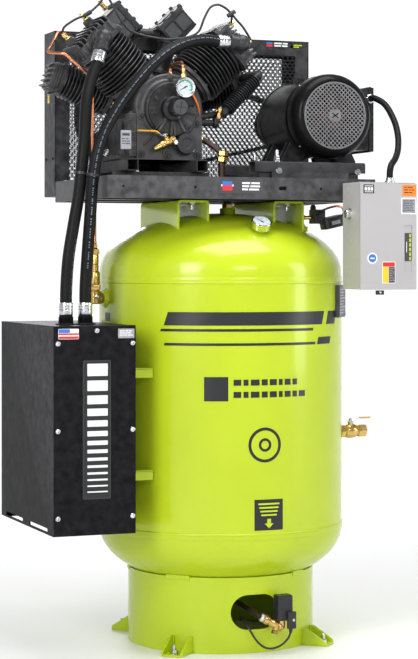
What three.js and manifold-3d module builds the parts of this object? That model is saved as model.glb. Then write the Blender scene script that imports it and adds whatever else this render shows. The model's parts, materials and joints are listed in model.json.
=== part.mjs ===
// Vertical tank air compressor: 120 gallon tank, four-cylinder two-stage pump, belt drive, intake silencer, starter.
// Millimetres, +Z up, -Y is the front, the tank axis is x = 0, y = 0 and the floor is z = 0.
import * as THREE from "three";
import { mergeVertices } from "three/addons/utils/BufferGeometryUtils.js";
import Module from "manifold-3d";

const wasm = await Module();
wasm.setup();
const { Manifold, Mesh } = wasm;

// ---------- driving dimensions ----------
const GAP = 0.3; // clearance left between parts that touch

// tank
const TANK_R = 381;
const TANK_WALL = 8;
const SEAM_LOW = 369;
const SEAM_HIGH = 1117;
const FLANGE_LOW = 15;
const FLANGE_HIGH = 29;
const HEAD_RISE = 186;
const TANK_SEGMENTS = 28;
const SKIRT_R = 290;
const SKIRT_WALL = 6;
const SKIRT_TOP = 229;
const HOLE_HALF_WIDTH = 77;
const HOLE_Z = [71, 176];
const FOOT_REACH = 370;
const FOOT_WIDTH = 68;
const FOOT_RISE = 52;
const CHANNEL_X = { left: -155, right: 161, half: 52 };
const CHANNEL_HALF_LENGTH = 170;

// deck
const DECK = { x0: -470, x1: 400, y0: -290, y1: 238, z0: 1368, z1: 1434 };
const RISER_H = 22;
const PUMP_TUBE = 38;
const PUMP_TUBE_X = [-330, -104];
const PIPE_DOWN = { x: -16, y: -52 }; // where the discharge pipe goes through the deck

// pump
const CRANK = { x: -190, z: 1650 };
const LP_ANGLE = 47; // degrees from vertical
const HP_ANGLE = 70.5;
const BOX_ANGLE = 18.5;
const LP_ROW = 30;
const HP_ROW = 165;
const BOX_ROW = 173;
const PAD_R = 134.7; // distance of the cylinder seats from the crank axis
const LP = { base: 135, top: 280, fin: 90, core: 63, bore: 50 };
const HP = { base: 135, top: 300, fin: 56, core: 39, bore: 30 };
const CASE_FRONT = -55;
const CASE_BACK = 225;

// drive
const MOTOR = { x: 316, z: 1637, r: 124 };
const DRIVE_Y = [268, 326];
const FLYWHEEL_R = 190;
const PULLEY_R = 66;
const BELT_T = 12;
const GUARD = { x0: -471, x1: 411, y0: 240, y1: 355, z0: 1388, z1: 1914 };
const SHEET = 4;

// silencer and starter
const SIL = { x0: -643, x1: -392, y0: -320, y1: 247, z0: 384, z1: 993 };
const FILTER = { x: -516, y: -30, r: 80, bore: 54 };
const HOSE_R = 18;
const STARTER = { x0: 286, x1: 473, y0: -418, y1: -297, z0: 1095, z1: 1420 };
const DOOR_T = 7;

// ---------- helpers ----------
const V = (x, y, z) => new THREE.Vector3(x, y, z);
const rad = (deg) => (deg * Math.PI) / 180;

function solid(geometry, matrix) {
  const g = geometry.index ? geometry : mergeVertices(geometry);
  const plain = g.clone();
  plain.deleteAttribute("normal");
  plain.deleteAttribute("uv");
  if (matrix) plain.applyMatrix4(matrix);
  const merged = mergeVertices(plain, 1e-4);
  return new Manifold(
    new Mesh({
      numProp: 3,
      vertProperties: new Float32Array(merged.attributes.position.array),
      triVerts: new Uint32Array(merged.index.array),
    }),
  );
}

function box(x0, x1, y0, y1, z0, z1) {
  const m = new THREE.Matrix4().makeTranslation((x0 + x1) / 2, (y0 + y1) / 2, (z0 + z1) / 2);
  return solid(new THREE.BoxGeometry(x1 - x0, y1 - y0, z1 - z0), m);
}

// A matrix that carries local +Z onto the direction from a to b, with its origin at a.
function along(a, b) {
  const q = new THREE.Quaternion().setFromUnitVectors(V(0, 0, 1), b.clone().sub(a).normalize());
  return new THREE.Matrix4().compose(a, q, V(1, 1, 1));
}

function rod(a, b, r0, sides = 16, r1 = r0) {
  const length = a.distanceTo(b);
  const g = new THREE.CylinderGeometry(r1, r0, length, sides);
  const turned = new THREE.Matrix4().makeRotationX(Math.PI / 2);
  const lift = new THREE.Matrix4().makeTranslation(0, 0, length / 2);
  return solid(g, along(a, b).multiply(lift).multiply(turned));
}

// Turns a profile of [radius, height] about local Z, then places it with the matrix.
function lathe(profile, sides, matrix = new THREE.Matrix4()) {
  const points = profile.map(([r, z]) => new THREE.Vector2(r, z));
  const g = new THREE.LatheGeometry(points, sides);
  const up = new THREE.Matrix4().makeRotationX(Math.PI / 2);
  const made = solid(g, matrix.clone().multiply(up));
  return made;
}

function loop(profile) {
  return [...profile, profile[0]];
}

function tube(points, r, sides = 8, steps = 30) {
  const path = new THREE.CatmullRomCurve3(points, false, "centripetal");
  const ring = [];
  for (let i = 0; i < sides; i++) {
    const a = (2 * Math.PI * i) / sides;
    ring.push(new THREE.Vector2(r * Math.cos(a), r * Math.sin(a)));
  }
  const g = new THREE.ExtrudeGeometry(new THREE.Shape(ring), { steps, bevelEnabled: false, extrudePath: path });
  return solid(g);
}

// Extrudes an outline in x and z along y.
function prismY(outline, y0, y1, holes = []) {
  const shape = new THREE.Shape(outline.map(([x, z]) => new THREE.Vector2(x, z)));
  holes.forEach((h) => shape.holes.push(new THREE.Path(h.map(([x, z]) => new THREE.Vector2(x, z)))));
  const g = new THREE.ExtrudeGeometry(shape, { depth: y1 - y0, bevelEnabled: false, curveSegments: 8 });
  const m = new THREE.Matrix4().makeTranslation(0, y1, 0);
  return solid(g, m.multiply(new THREE.Matrix4().makeRotationX(Math.PI / 2)));
}

function join(...parts) {
  return parts.reduce((a, b) => a.add(b));
}

function cut(body, ...tools) {
  return tools.reduce((a, b) => a.subtract(b), body);
}

// The pump's cylinders stand round the crank: this frame has +Z outward, +Y to the back.
function spoke(angle, side, row) {
  const a = rad(angle) * side;
  const out = V(Math.sin(a), 0, Math.cos(a));
  const across = V(Math.cos(a), 0, -Math.sin(a));
  const m = new THREE.Matrix4().makeBasis(across, V(0, 1, 0), out);
  m.setPosition(CRANK.x, row, CRANK.z);
  return m;
}

const at = (m, x, y, z) => V(x, y, z).applyMatrix4(m);

function placed(m, x0, x1, y0, y1, z0, z1) {
  const c = new THREE.Matrix4().makeTranslation((x0 + x1) / 2, (y0 + y1) / 2, (z0 + z1) / 2);
  return solid(new THREE.BoxGeometry(x1 - x0, y1 - y0, z1 - z0), m.clone().multiply(c));
}

// ---------- finishes ----------
const finish = (color, roughness, metalness = 0) => ({ color, roughness, metalness });
const LIME = finish(0xb5d63b, 0.3);
const BLACK = finish(0x1d1c1f, 0.5);
const CAST = finish(0x161617, 0.55);
const STEEL = finish(0x8d9093, 0.35, 1);
const ZINC = finish(0xb9bcc0, 0.3, 1);
const BRASS = finish(0xc29a4a, 0.28, 1);
const COPPER = finish(0xc4704a, 0.3, 1);
const RUBBER = finish(0x1b1b1c, 0.75);
const GREY = finish(0xb9b8ba, 0.4);
const YELLOW = finish(0xe7a81c, 0.45);
const WHITE = finish(0xe9eae6, 0.5);
const ALLOY = finish(0xa6a9ad, 0.4, 1);
const PLASTIC = finish(0x202124, 0.6);

const root = new THREE.Group();

function add(name, body, look) {
  const mesh = body.getMesh();
  const g = new THREE.BufferGeometry();
  g.setAttribute("position", new THREE.BufferAttribute(new Float32Array(mesh.vertProperties), 3));
  g.setIndex(new THREE.BufferAttribute(new Uint32Array(mesh.triVerts), 1));
  g.computeVertexNormals();
  const node = new THREE.Mesh(g, new THREE.MeshStandardMaterial(look));
  node.name = name;
  root.add(node);
}

// ---------- tank ----------
function domeProfile(radius, rise, base, steps) {
  const out = [];
  for (let i = 0; i <= steps; i++) {
    const a = (Math.PI / 2) * (i / steps);
    out.push([radius * Math.cos(a), base + rise * Math.sin(a)]);
  }
  out[steps][0] = 0;
  return out;
}

function headShell(flip) {
  const base = (flip ? -SEAM_LOW : SEAM_HIGH) + GAP;
  const flange = flip ? FLANGE_LOW : FLANGE_HIGH;
  const outer = domeProfile(TANK_R, HEAD_RISE, base + flange, 6);
  const inner = domeProfile(TANK_R - TANK_WALL, HEAD_RISE - TANK_WALL, base + flange, 3);
  const profile = inner.slice().reverse();
  profile.push([TANK_R - TANK_WALL, base]);
  profile.push([TANK_R, base]);
  outer.forEach((p) => profile.push(p));
  return flip ? profile.map(([r, z]) => [r, -z]).reverse() : profile;
}

const bracketZ = [[529, 558], [834, 863]];
let barrel = lathe(
  loop([
    [TANK_R - TANK_WALL, SEAM_LOW],
    [TANK_R, SEAM_LOW],
    [TANK_R, SEAM_HIGH],
    [TANK_R - TANK_WALL, SEAM_HIGH],
  ]),
  TANK_SEGMENTS,
);
for (const [z0, z1] of bracketZ) {
  for (const [y0, y1] of [[-240, -216], [150, 174]]) {
    const reach = Math.sqrt(376 ** 2 - Math.min(Math.abs(y0), Math.abs(y1)) ** 2);
    barrel = join(barrel, box(SIL.x1 + GAP, -reach + 8, y0, y1, z0, z1));
  }
}
barrel = cut(barrel, rod(V(0, 0, SEAM_LOW - 5), V(0, 0, SEAM_HIGH + 5), TANK_R - TANK_WALL, TANK_SEGMENTS));
// side ports: outlet on the right, check valve on the left
const outletPort = rod(V(374, 0, 634), V(398, 0, 634), 22, 12);
const checkPort = rod(V(-374, 0, 1068), V(-390, 0, 1068), 26, 16);
add("tank_barrel", join(barrel, outletPort, checkPort), LIME);

const topHead = lathe(headShell(false), TANK_SEGMENTS);
const centreBoss = rod(V(0, -60, 1318), V(0, -60, 1346), 24, 16);
const HEAD_INSIDE = lathe(
  [
    [0, SEAM_HIGH],
    [TANK_R - TANK_WALL, SEAM_HIGH],
    ...domeProfile(TANK_R - TANK_WALL, HEAD_RISE - TANK_WALL, SEAM_HIGH + FLANGE_HIGH, 3),
  ],
  TANK_SEGMENTS,
);
add("tank_top_head", cut(join(topHead, centreBoss), HEAD_INSIDE), LIME);
add("tank_bottom_head", lathe(headShell(true), TANK_SEGMENTS), LIME);

// A solid that fills the outside of the top head, grown by the gap, for shaping what sits on it.
const DOME_GROWN = lathe(
  [[0, 900], [TANK_R + GAP, 900], ...domeProfile(TANK_R + 0.6, HEAD_RISE + 0.6, SEAM_HIGH + FLANGE_HIGH + GAP, 6)],
  TANK_SEGMENTS,
);

// ---------- skirt with welded feet ----------
let skirt = lathe(
  loop([
    [SKIRT_R - SKIRT_WALL, 0],
    [SKIRT_R, 0],
    [SKIRT_R, SKIRT_TOP],
    [SKIRT_R - SKIRT_WALL, SKIRT_TOP],
  ]),
  TANK_SEGMENTS,
);
const holeR = (HOLE_Z[1] - HOLE_Z[0]) / 2;
const holeZ = (HOLE_Z[1] + HOLE_Z[0]) / 2;
const slot = [];
for (const side of [1, -1]) {
  for (let i = 0; i <= 5; i++) {
    const a = side * (Math.PI / 2) - side * (Math.PI * i) / 5;
    slot.push([side * ((HOLE_HALF_WIDTH - holeR) + holeR * Math.cos(a)), holeZ + holeR * Math.sin(a)]);
  }
}
function turnZ(deg) {
  return new THREE.Matrix4().makeRotationZ(rad(deg));
}
for (const deg of [45, 135, 225, 315]) {
  const m = turnZ(deg);
  const w = FOOT_WIDTH / 2;
  let foot = placed(m, SKIRT_R - 5, FOOT_REACH, -w, w, 0, 7);
  foot = cut(foot, rod(at(m, 345, 0, -5), at(m, 345, 0, 12), 9, 8));
  for (const y of [-w, w - 6]) {
    const rib = new THREE.Shape([
      new THREE.Vector2(SKIRT_R - 5, 3),
      new THREE.Vector2(FOOT_REACH - 4, 3),
      new THREE.Vector2(FOOT_REACH - 4, 14),
      new THREE.Vector2(SKIRT_R + 12, FOOT_RISE),
      new THREE.Vector2(SKIRT_R - 5, FOOT_RISE),
    ]);
    const g = new THREE.ExtrudeGeometry(rib, { depth: 6, bevelEnabled: false });
    const stand = new THREE.Matrix4().makeTranslation(0, y + 6, 0);
    foot = join(foot, solid(g, m.clone().multiply(stand).multiply(new THREE.Matrix4().makeRotationX(Math.PI / 2))));
  }
  skirt = join(skirt, foot);
}
skirt = cut(skirt, rod(V(0, 0, -5), V(0, 0, 300), SKIRT_R - SKIRT_WALL, TANK_SEGMENTS));
skirt = cut(skirt, prismY(slot, -SKIRT_R - 20, SKIRT_R + 20));
add("tank_skirt", skirt, LIME);

// ---------- lime channels between tank and deck ----------
const CHANNEL_TOP = DECK.z0 - GAP;
for (const [name, x] of [["deck_channel_left", CHANNEL_X.left], ["deck_channel_right", CHANNEL_X.right]]) {
  const w = CHANNEL_X.half;
  const c = 10;
  const outline = [
    [x - w, 1260], [x - w + 6, 1260], [x - w + 6, CHANNEL_TOP - c], [x - w + c + 2, CHANNEL_TOP - 6],
    [x + w - c - 2, CHANNEL_TOP - 6], [x + w - 6, CHANNEL_TOP - c], [x + w - 6, 1260], [x + w, 1260],
    [x + w, CHANNEL_TOP - c], [x + w - c, CHANNEL_TOP], [x - w + c, CHANNEL_TOP], [x - w, CHANNEL_TOP - c],
  ];
  add(name, cut(prismY(outline, -CHANNEL_HALF_LENGTH, CHANNEL_HALF_LENGTH), DOME_GROWN), LIME);
}

// ---------- deck: folded pan, cross members, risers and the two pump tubes ----------
let deck = cut(
  box(DECK.x0, DECK.x1, DECK.y0, DECK.y1, DECK.z0, DECK.z1),
  box(DECK.x0 + 5, DECK.x1 - 5, DECK.y0 + 5, DECK.y1 - 5, DECK.z0 - 5, DECK.z1 - 5),
);
for (const y of [-120, 70]) deck = join(deck, box(DECK.x0 + 2, DECK.x1 - 2, y, y + 50, DECK.z0, DECK.z1 - 2));
const railTop = DECK.z1 + RISER_H;
for (const y of [-70, 150]) deck = join(deck, box(-370, -64, y, y + 40, DECK.z1 - 2, railTop + 1));
for (const x of [60, 360]) deck = join(deck, box(x, x + 36, -176, 130, DECK.z1 - 2, railTop));
for (const x of PUMP_TUBE_X) {
  const h = PUMP_TUBE / 2;
  const t = cut(
    box(x - h, x + h, -112, 228, railTop, railTop + PUMP_TUBE),
    box(x - h + 4, x + h - 4, -113, 229, railTop + 4, railTop + PUMP_TUBE - 4),
  );
  deck = join(deck, t);
}
deck = cut(deck, rod(V(-414, 0, 1400), V(-414, 0, 1440), 10, 8), rod(V(PIPE_DOWN.x, PIPE_DOWN.y, 1400), V(PIPE_DOWN.x, PIPE_DOWN.y, 1440), 14, 8));
add("deck_frame", deck, BLACK);
const PUMP_BASE = railTop + PUMP_TUBE + GAP;

// ---------- crankcase ----------
const cx = CRANK.x;
const cz = CRANK.z;
let shell = join(
  rod(V(cx, CASE_FRONT, cz), V(cx, CASE_BACK, cz), 112, 16),
  box(cx - 107, cx + 107, CASE_FRONT, CASE_BACK, PUMP_BASE, cz),
  box(cx - 158, cx + 104, CASE_FRONT + 12, CASE_BACK - 10, PUMP_BASE, PUMP_BASE + 16),
);
for (const side of [-1, 1]) {
  const lp = spoke(LP_ANGLE, side, LP_ROW);
  const hp = spoke(HP_ANGLE, side, HP_ROW);
  const bx = spoke(BOX_ANGLE, side, BOX_ROW);
  shell = join(
    shell,
    rod(at(lp, 0, 0, 60), at(lp, 0, 0, PAD_R), 72, 12),
    rod(at(hp, 0, 0, 60), at(hp, 0, 0, PAD_R), 46, 10),
    rod(at(bx, 0, 0, 60), at(bx, 0, 0, PAD_R), 34, 8),
  );
}
shell = cut(shell, rod(V(cx, CASE_FRONT - 1, cz), V(cx, 205, cz), 90, 16));
shell = cut(shell, rod(V(cx, 200, cz), V(cx, 230, cz), 22, 12));
for (const side of [-1, 1]) {
  const lp = spoke(LP_ANGLE, side, LP_ROW);
  const hp = spoke(HP_ANGLE, side, HP_ROW);
  shell = cut(
    shell,
    rod(at(lp, 0, 0, 50), at(lp, 0, 0, PAD_R + 5), LP.bore, 12),
    rod(at(hp, 0, 0, 50), at(hp, 0, 0, PAD_R + 5), HP.bore, 8),
  );
}
const sightBoss = rod(V(-144, CASE_FRONT + 5, 1545), V(-144, -86, 1545), 28, 12);
const breather = box(-322, -294, -50, -20, 1520, 1636);
const breatherFoot = box(-322, -290, -48, -22, PUMP_BASE + 10, 1524);
add("crankcase", join(shell, sightBoss, breather, breatherFoot), CAST);

const coverFront = CASE_FRONT - 24;
let cover = rod(V(cx, CASE_FRONT - GAP, cz), V(cx, coverFront, cz), 76, 16);
cover = join(cover, rod(V(cx, coverFront + 1, cz), V(cx, -104, cz), 38, 14),
  rod(V(cx, -100, cz), V(cx, -156, cz), 25, 14));
add("bearing_cover", cut(cover, rod(V(cx, CASE_FRONT + 2, cz), V(cx, CASE_FRONT - 14, cz), 21, 10)), CAST);

// crankshaft: journals, two webs each side of the pin, keyed rear end for the flywheel
const pinY = [[14, 46], [80, 150]];
let shaft = rod(V(cx, CASE_FRONT - 8, cz), V(cx, 2, cz), 19, 12);
shaft = join(shaft, rod(V(cx, 2, cz), V(cx, 14.5, cz), 62, 12));
shaft = join(shaft, rod(V(cx, pinY[0][0], cz + 30), V(cx, pinY[1][1], cz + 30), 17, 8));
shaft = join(shaft, rod(V(cx, pinY[1][1] - 0.5, cz), V(cx, 163, cz), 62, 12));
shaft = join(shaft, rod(V(cx, 162, cz), V(cx, 333, cz), 19, 12));
add("crankshaft", shaft, STEEL);

// ---------- cylinders, heads and pistons ----------
function finned(m, c, fins, sides) {
  const profile = [[c.bore, c.base], [c.core + 14, c.base], [c.core + 14, c.base + 14], [c.core, c.base + 14]];
  const pitch = (c.top - c.base - 14) / fins;
  for (let i = 0; i < fins; i++) {
    const z = c.base + 14 + pitch * (i + 0.55);
    profile.push([c.core, z], [c.fin, z], [c.fin, z + pitch * 0.4], [c.core, z + pitch * 0.4]);
  }
  profile.push([c.core, c.top], [c.bore, c.top]);
  return lathe(loop(profile), sides, m);
}
const headerRoom = [];
for (const [hand, side] of [["left", -1], ["right", 1]]) {
  const lp = spoke(LP_ANGLE, side, LP_ROW);
  const hp = spoke(HP_ANGLE, side, HP_ROW);
  const bx = spoke(BOX_ANGLE, side, BOX_ROW);
  add("first_stage_cylinder_" + hand, finned(lp, LP, 4, 12), CAST);
  add("second_stage_cylinder_" + hand, finned(hp, HP, 3, 10), CAST);

  // low-pressure head: valve plate, block, ribs and two unloader caps
  const z0 = LP.top + GAP;
  let head = join(placed(lp, -82, 82, -84, 84, z0, z0 + 14), placed(lp, -68, 68, -78, 78, z0 + 13, z0 + 50));
  for (let i = 0; i < 6; i++) {
    const x = -68 + i * 26;
    head = join(head, placed(lp, x, x + 6, -78, 78, z0 + 49, z0 + 66));
  }
  for (const [x, top] of [[42, 96], [-42, 96]]) {
    head = join(head, rod(at(lp, x, 20, z0 + 45), at(lp, x, 20, z0 + 84), 17, 8));
    head = join(head, rod(at(lp, x, 20, z0 + 83), at(lp, x, 20, z0 + top), 8, 6));
  }
  const port = rod(at(lp, 0, -86, z0 + 28), at(lp, 0, -60, z0 + 28), 24, 10);
  add("first_stage_head_" + hand, join(head, port), CAST);
  add("first_stage_piston_" + hand, lathe([[0, 222], [38, 222], [38, 185], [LP.bore - 0.6, 185], [LP.bore - 0.6, 240], [0, 240]], 12, lp), ALLOY);

  // high-pressure head
  const h0 = HP.top + GAP;
  let cap = join(placed(hp, -50, 50, -50, 50, h0, h0 + 12), placed(hp, -42, 42, -42, 42, h0 + 11, h0 + 42));
  for (const x of [-36, -12, 12, 36]) {
    cap = join(cap, placed(hp, x - 3, x + 3, -42, 42, h0 + 41, h0 + 52));
  }
  add("second_stage_head_" + hand, cap, CAST);

  // interstage header box on its neck, turned so its long side faces the middle of the pump
  const boxMid = at(bx, 0, 0, 298);
  const turn = new THREE.Matrix4().makeRotationY(rad(side * -45));
  turn.setPosition(boxMid);
  let header = placed(turn, -59, 59, -46, 46, -42, 42);
  header = join(header, rod(at(bx, 0, 0, PAD_R + GAP), at(bx, 0, 0, 262), 30, 10));
  header = join(header, rod(at(bx, 0, 0, PAD_R + GAP), at(bx, 0, 0, PAD_R + 12), 40, 10));
  headerRoom.push(placed(turn, -59.4, 59.4, -46.4, 46.4, -42.4, 42.4));
  add("header_box_" + hand, header, CAST);
}

// crossover pipe between the header boxes, with a flange at each end
const pipeZ = 1912;
const crossover = rod(V(cx - 70, BOX_ROW, pipeZ), V(cx + 70, BOX_ROW, pipeZ), 14, 12);
add("crossover_pipe", cut(crossover, ...headerRoom), CAST);

// ---------- intercooler: finned tube beside the right bank, up to the high-pressure head ----------
const icA = V(24, 24, 1655);
const icB = V(150, 50, 1775);
const icM = along(icA, icB);
const icL = icA.distanceTo(icB);
const icProfile = [[0, 0], [15, 0]];
for (let i = 0; i < 4; i++) {
  const z = 14 + i * ((icL - 24) / 4);
  icProfile.push([15, z], [24, z], [24, z + 14], [15, z + 14]);
}
icProfile.push([15, icL], [0, icL]);
const hpr = spoke(HP_ANGLE, 1, HP_ROW);
const icTop = at(hpr, -10, -42.4, HP.top + 27);
let cooler = lathe(icProfile, 10, icM);
cooler = join(
  cooler,
  tube([icB.clone().lerp(icA, 0.03), V(158, 62, 1783), icTop.clone().add(V(-1, -34, 4)), icTop.clone().add(V(0, -14, 0)), icTop], 11, 6, 8),
  rod(icA.clone().lerp(icB, 0.02), V(12, 24, 1644), 16, 8),
  rod(V(14, 24, 1646), V(-48, 24, 1640), 11, 6),
);
cooler = cut(cooler, rod(V(cx, -40, cz), V(cx, 200, cz), 112.4, 16));
add("intercooler_tube", cooler, CAST);

// ---------- flywheel, motor and belt ----------
const MY = (x, z) => {
  const m = new THREE.Matrix4().makeRotationX(-Math.PI / 2);
  m.setPosition(x, 0, z);
  return m;
};
const [fy0, fy1] = DRIVE_Y;
let wheel = lathe(
  loop([[FLYWHEEL_R - 22, fy0], [FLYWHEEL_R, fy0], [FLYWHEEL_R, fy1], [FLYWHEEL_R - 22, fy1]]),
  24,
  MY(cx, cz),
);
wheel = join(wheel, rod(V(cx, fy0, cz), V(cx, fy1, cz), 42, 12));
for (let i = 0; i < 5; i++) {
  const m = new THREE.Matrix4().makeRotationY(rad(72 * i));
  m.setPosition(cx, 0, cz);
  wheel = join(wheel, placed(m, -20, 20, 288, 306, 30, FLYWHEEL_R - 12));
}
wheel = cut(wheel, rod(V(cx, fy0 - 5, cz), V(cx, fy1 + 5, cz), 19.4, 12));
add("flywheel", wheel, CAST);

function circle(x, z, r, a0, a1, n) {
  const out = [];
  for (let i = 0; i <= n; i++) {
    const a = a0 + ((a1 - a0) * i) / n;
    out.push([x + r * Math.cos(a), z + r * Math.sin(a)]);
  }
  return out;
}
// Outline of a belt round two wheels: the two arcs meet the straight runs at the tangent angle.
function beltLine(grow) {
  const dx = MOTOR.x - cx;
  const dz = MOTOR.z - cz;
  const d = Math.hypot(dx, dz);
  const tilt = Math.atan2(dz, dx);
  const lean = Math.acos((FLYWHEEL_R - PULLEY_R) / d);
  return [
    ...circle(cx, cz, FLYWHEEL_R + grow, tilt + lean, tilt + 2 * Math.PI - lean, 18),
    ...circle(MOTOR.x, MOTOR.z, PULLEY_R + grow, tilt - lean, tilt + lean, 8),
  ];
}
add("drive_belt", prismY(beltLine(BELT_T + 2.2), fy0 + 8, fy1 - 8, [beltLine(2.2)]), RUBBER);

const mx = MOTOR.x;
const mz = MOTOR.z;
let motor = lathe(
  loop([[112, -109], [118, -100], [118, -70], [MOTOR.r, -62], [MOTOR.r, 150], [112, 168], [60, 200], [20, 200], [20, -109]]),
  16,
  MY(mx, mz),
);
for (const side of [-1, 1]) {
  const outline = [
    [mx + side * 128, 1490.3], [mx + side * 60, 1490.3], [mx + side * 40, 1545], [mx + side * 92, 1570], [mx + side * 128, 1504],
  ];
  motor = join(motor, prismY(side > 0 ? outline.reverse() : outline, -54, -14), prismY(outline, 84, 124));
}
const junction = box(mx + 112, mx + 193, -60, 88, 1532, 1742);
motor = join(motor, junction);
motor = cut(motor, rod(V(mx, -120, mz), V(mx, 210, mz), 20, 10));
add("motor_body", motor, BLACK);

let fanCover = lathe(
  [[0, -178], [122, -178], [134, -160], [134, -109.4], [130, -109.4], [130, -158], [120, -174], [0, -174]],
  16,
  MY(mx, mz),
);
for (let i = 0; i < 6; i++) {
  const a = rad(60 * i + 30);
  const c = V(mx + 72 * Math.cos(a), 0, mz + 72 * Math.sin(a));
  fanCover = cut(fanCover, rod(V(c.x, -185, c.z), V(c.x, -165, c.z), 28, 6));
}
const fanTies = [];
for (let i = 0; i < 4; i++) {
  const a = rad(90 * i + 45);
  fanTies.push(
    rod(V(mx + 126 * Math.cos(a), -108.7 - 0.6, mz + 126 * Math.sin(a)), V(mx + 126 * Math.cos(a), -130, mz + 126 * Math.sin(a)), 8, 5),
  );
}
fanCover = join(fanCover, ...fanTies);
add("motor_fan_cover", fanCover, BLACK);

let rotor = rod(V(mx, -160, mz), V(mx, 330, mz), 17, 10);
rotor = join(rotor, rod(V(mx, -158, mz), V(mx, -122, mz), 40, 10));
for (let i = 0; i < 6; i++) {
  const m = new THREE.Matrix4().makeRotationY(rad(60 * i));
  m.setPosition(mx, 0, mz);
  rotor = join(rotor, placed(m, -3, 3, -156, -124, 30, 108));
}
add("motor_rotor", rotor, STEEL);
const pulleyProfile = loop([[17.4, fy0 - 4], [PULLEY_R, fy0 - 4], [PULLEY_R, fy1 + 2], [17.4, fy1 + 2]]);
add("motor_pulley", lathe(pulleyProfile, 16, MY(mx, mz)), CAST);

// slide base: two folded rails along x and the adjusting studs
let slide = cut(box(42, 416, -186, -136, railTop + GAP, 1490), box(41, 417, -182, -140, railTop - 2, 1486));
slide = join(slide, cut(box(42, 416, 78, 128, railTop + GAP, 1490), box(41, 417, 82, 124, railTop - 2, 1486)));
slide = join(slide, box(150, 190, -140, 84, 1478, 1489.7), box(376, 414, -140, 84, 1478, 1489.7));
for (const [x, y] of [[125, -160], [160, 103]]) slide = join(slide, rod(V(x, y, 1480), V(x, y, 1526), 8, 6));
slide = join(slide, box(204, 424, -56, -12, 1478, 1489.7), box(204, 424, 82, 126, 1478, 1489.7));
add("motor_slide_base", slide, BLACK);

// ---------- belt guard ----------
let guard = cut(
  box(GUARD.x0, GUARD.x1, GUARD.y0, GUARD.y1, GUARD.z0, GUARD.z1),
  box(GUARD.x0 + SHEET, GUARD.x1 - SHEET, GUARD.y0 - 5, GUARD.y1 + 5, GUARD.z0 + SHEET, GUARD.z1 - SHEET),
);
const lip = 16;
for (const [y0, y1] of [[GUARD.y0 + 3.6, GUARD.y0 + 6.6], [GUARD.y1 - 6.6, GUARD.y1 - 3.6]]) {
  guard = join(
    guard,
    cut(
      box(GUARD.x0 + 1, GUARD.x1 - 1, y0, y1, GUARD.z0 + 1, GUARD.z1 - 1),
      box(GUARD.x0 + lip, GUARD.x1 - lip, y0 - 1, y1 + 1, GUARD.z0 + lip, GUARD.z1 - lip),
    ),
  );
}
add("guard_shell", guard, BLACK);
const inset = SHEET + GAP;
function panel(y0, y1) {
  return box(GUARD.x0 + inset, GUARD.x1 - inset, y0, y1, GUARD.z0 + inset, GUARD.z1 - inset);
}
add(
  "guard_front_mesh",
  cut(
    panel(GUARD.y0 + 0.4, GUARD.y0 + 3.3),
    rod(V(cx, 230, cz), V(cx, 250, cz), 45, 10),
    rod(V(mx, 230, mz), V(mx, 250, mz), 45, 10),
  ),
  BLACK,
);
add("guard_rear_mesh", panel(GUARD.y1 - 3.3, GUARD.y1 - 0.4), BLACK);

// ---------- silencer ----------
let sil = cut(
  box(SIL.x0, SIL.x1, SIL.y0 + 3, SIL.y1, SIL.z0, SIL.z1),
  box(SIL.x0 + SHEET, SIL.x1 - SHEET, SIL.y0 - 5, SIL.y1 - SHEET, SIL.z0 + SHEET, SIL.z1 - SHEET),
);
for (const [y0, y1] of [[-258, -68], [4, 190]]) sil = cut(sil, box(SIL.x0 - 5, SIL.x0 + 10, y0, y1, SIL.z0 + 7, SIL.z0 + 18));
sil = cut(sil, box(SIL.x0 + SHEET + 2, FILTER.x - FILTER.r - 4, -264, 200, SIL.z0 - 1, SIL.z0 + SHEET + 1));
const spout = [V(-566, -190, 0), V(-506, -190, 0)];
for (const p of spout) {
  const low = p.clone().setZ(SIL.z1 - SHEET - 8);
  sil = join(sil, rod(low, p.clone().setZ(SIL.z1 + 30), 22, 10));
  sil = cut(sil, rod(low.clone().setZ(low.z - 2), p.clone().setZ(SIL.z1 + 32), 13, 8));
}
add("silencer_body", sil, BLACK);
add("silencer_cover", box(SIL.x0 + 0.5, SIL.x1 - 0.5, SIL.y0, SIL.y0 + 2.7, SIL.z0 + 0.5, SIL.z1 - 0.5), BLACK);
const element = cut(
  rod(V(FILTER.x, FILTER.y, SIL.z0 + SHEET + GAP), V(FILTER.x, FILTER.y, 840), FILTER.r, 14),
  rod(V(FILTER.x, FILTER.y, SIL.z0 + 30), V(FILTER.x, FILTER.y, 850), FILTER.bore, 12),
);
add("filter_element", element, WHITE);

// ---------- intake hoses and elbows ----------
const lpL = spoke(LP_ANGLE, -1, LP_ROW);
const lpR = spoke(LP_ANGLE, 1, LP_ROW);
const portL = at(lpL, 0, -86.4, LP.top + GAP + 28);
const portR = at(lpR, 0, -86.4, LP.top + GAP + 28);
function elbow(port, exit) {
  const mid = port.clone().add(V(0, -36, 0));
  const end = mid.clone().add(exit.clone().multiplyScalar(48));
  return join(
    rod(port, mid.clone().add(V(0, -6, 0)), 25, 10),
    rod(mid, end, 22, 10),
    solid(new THREE.SphereGeometry(27, 10, 6), new THREE.Matrix4().makeTranslation(mid.x, mid.y, mid.z)),
  );
}
const exitL = V(-0.3, -0.14, -0.94).normalize();
const exitR = V(-1, -0.05, 0.02).normalize();
add("intake_elbow_left", elbow(portL, exitL), CAST);
add("intake_elbow_right", elbow(portR, exitR), CAST);
const hoseStart = (i) => spout[i].clone().setZ(SIL.z1 + 30 + GAP);
const endL = portL.clone().add(V(0, -36, 0)).add(exitL.clone().multiplyScalar(48.4));
const endR = portR.clone().add(V(0, -36, 0)).add(exitR.clone().multiplyScalar(48.4));
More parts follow.
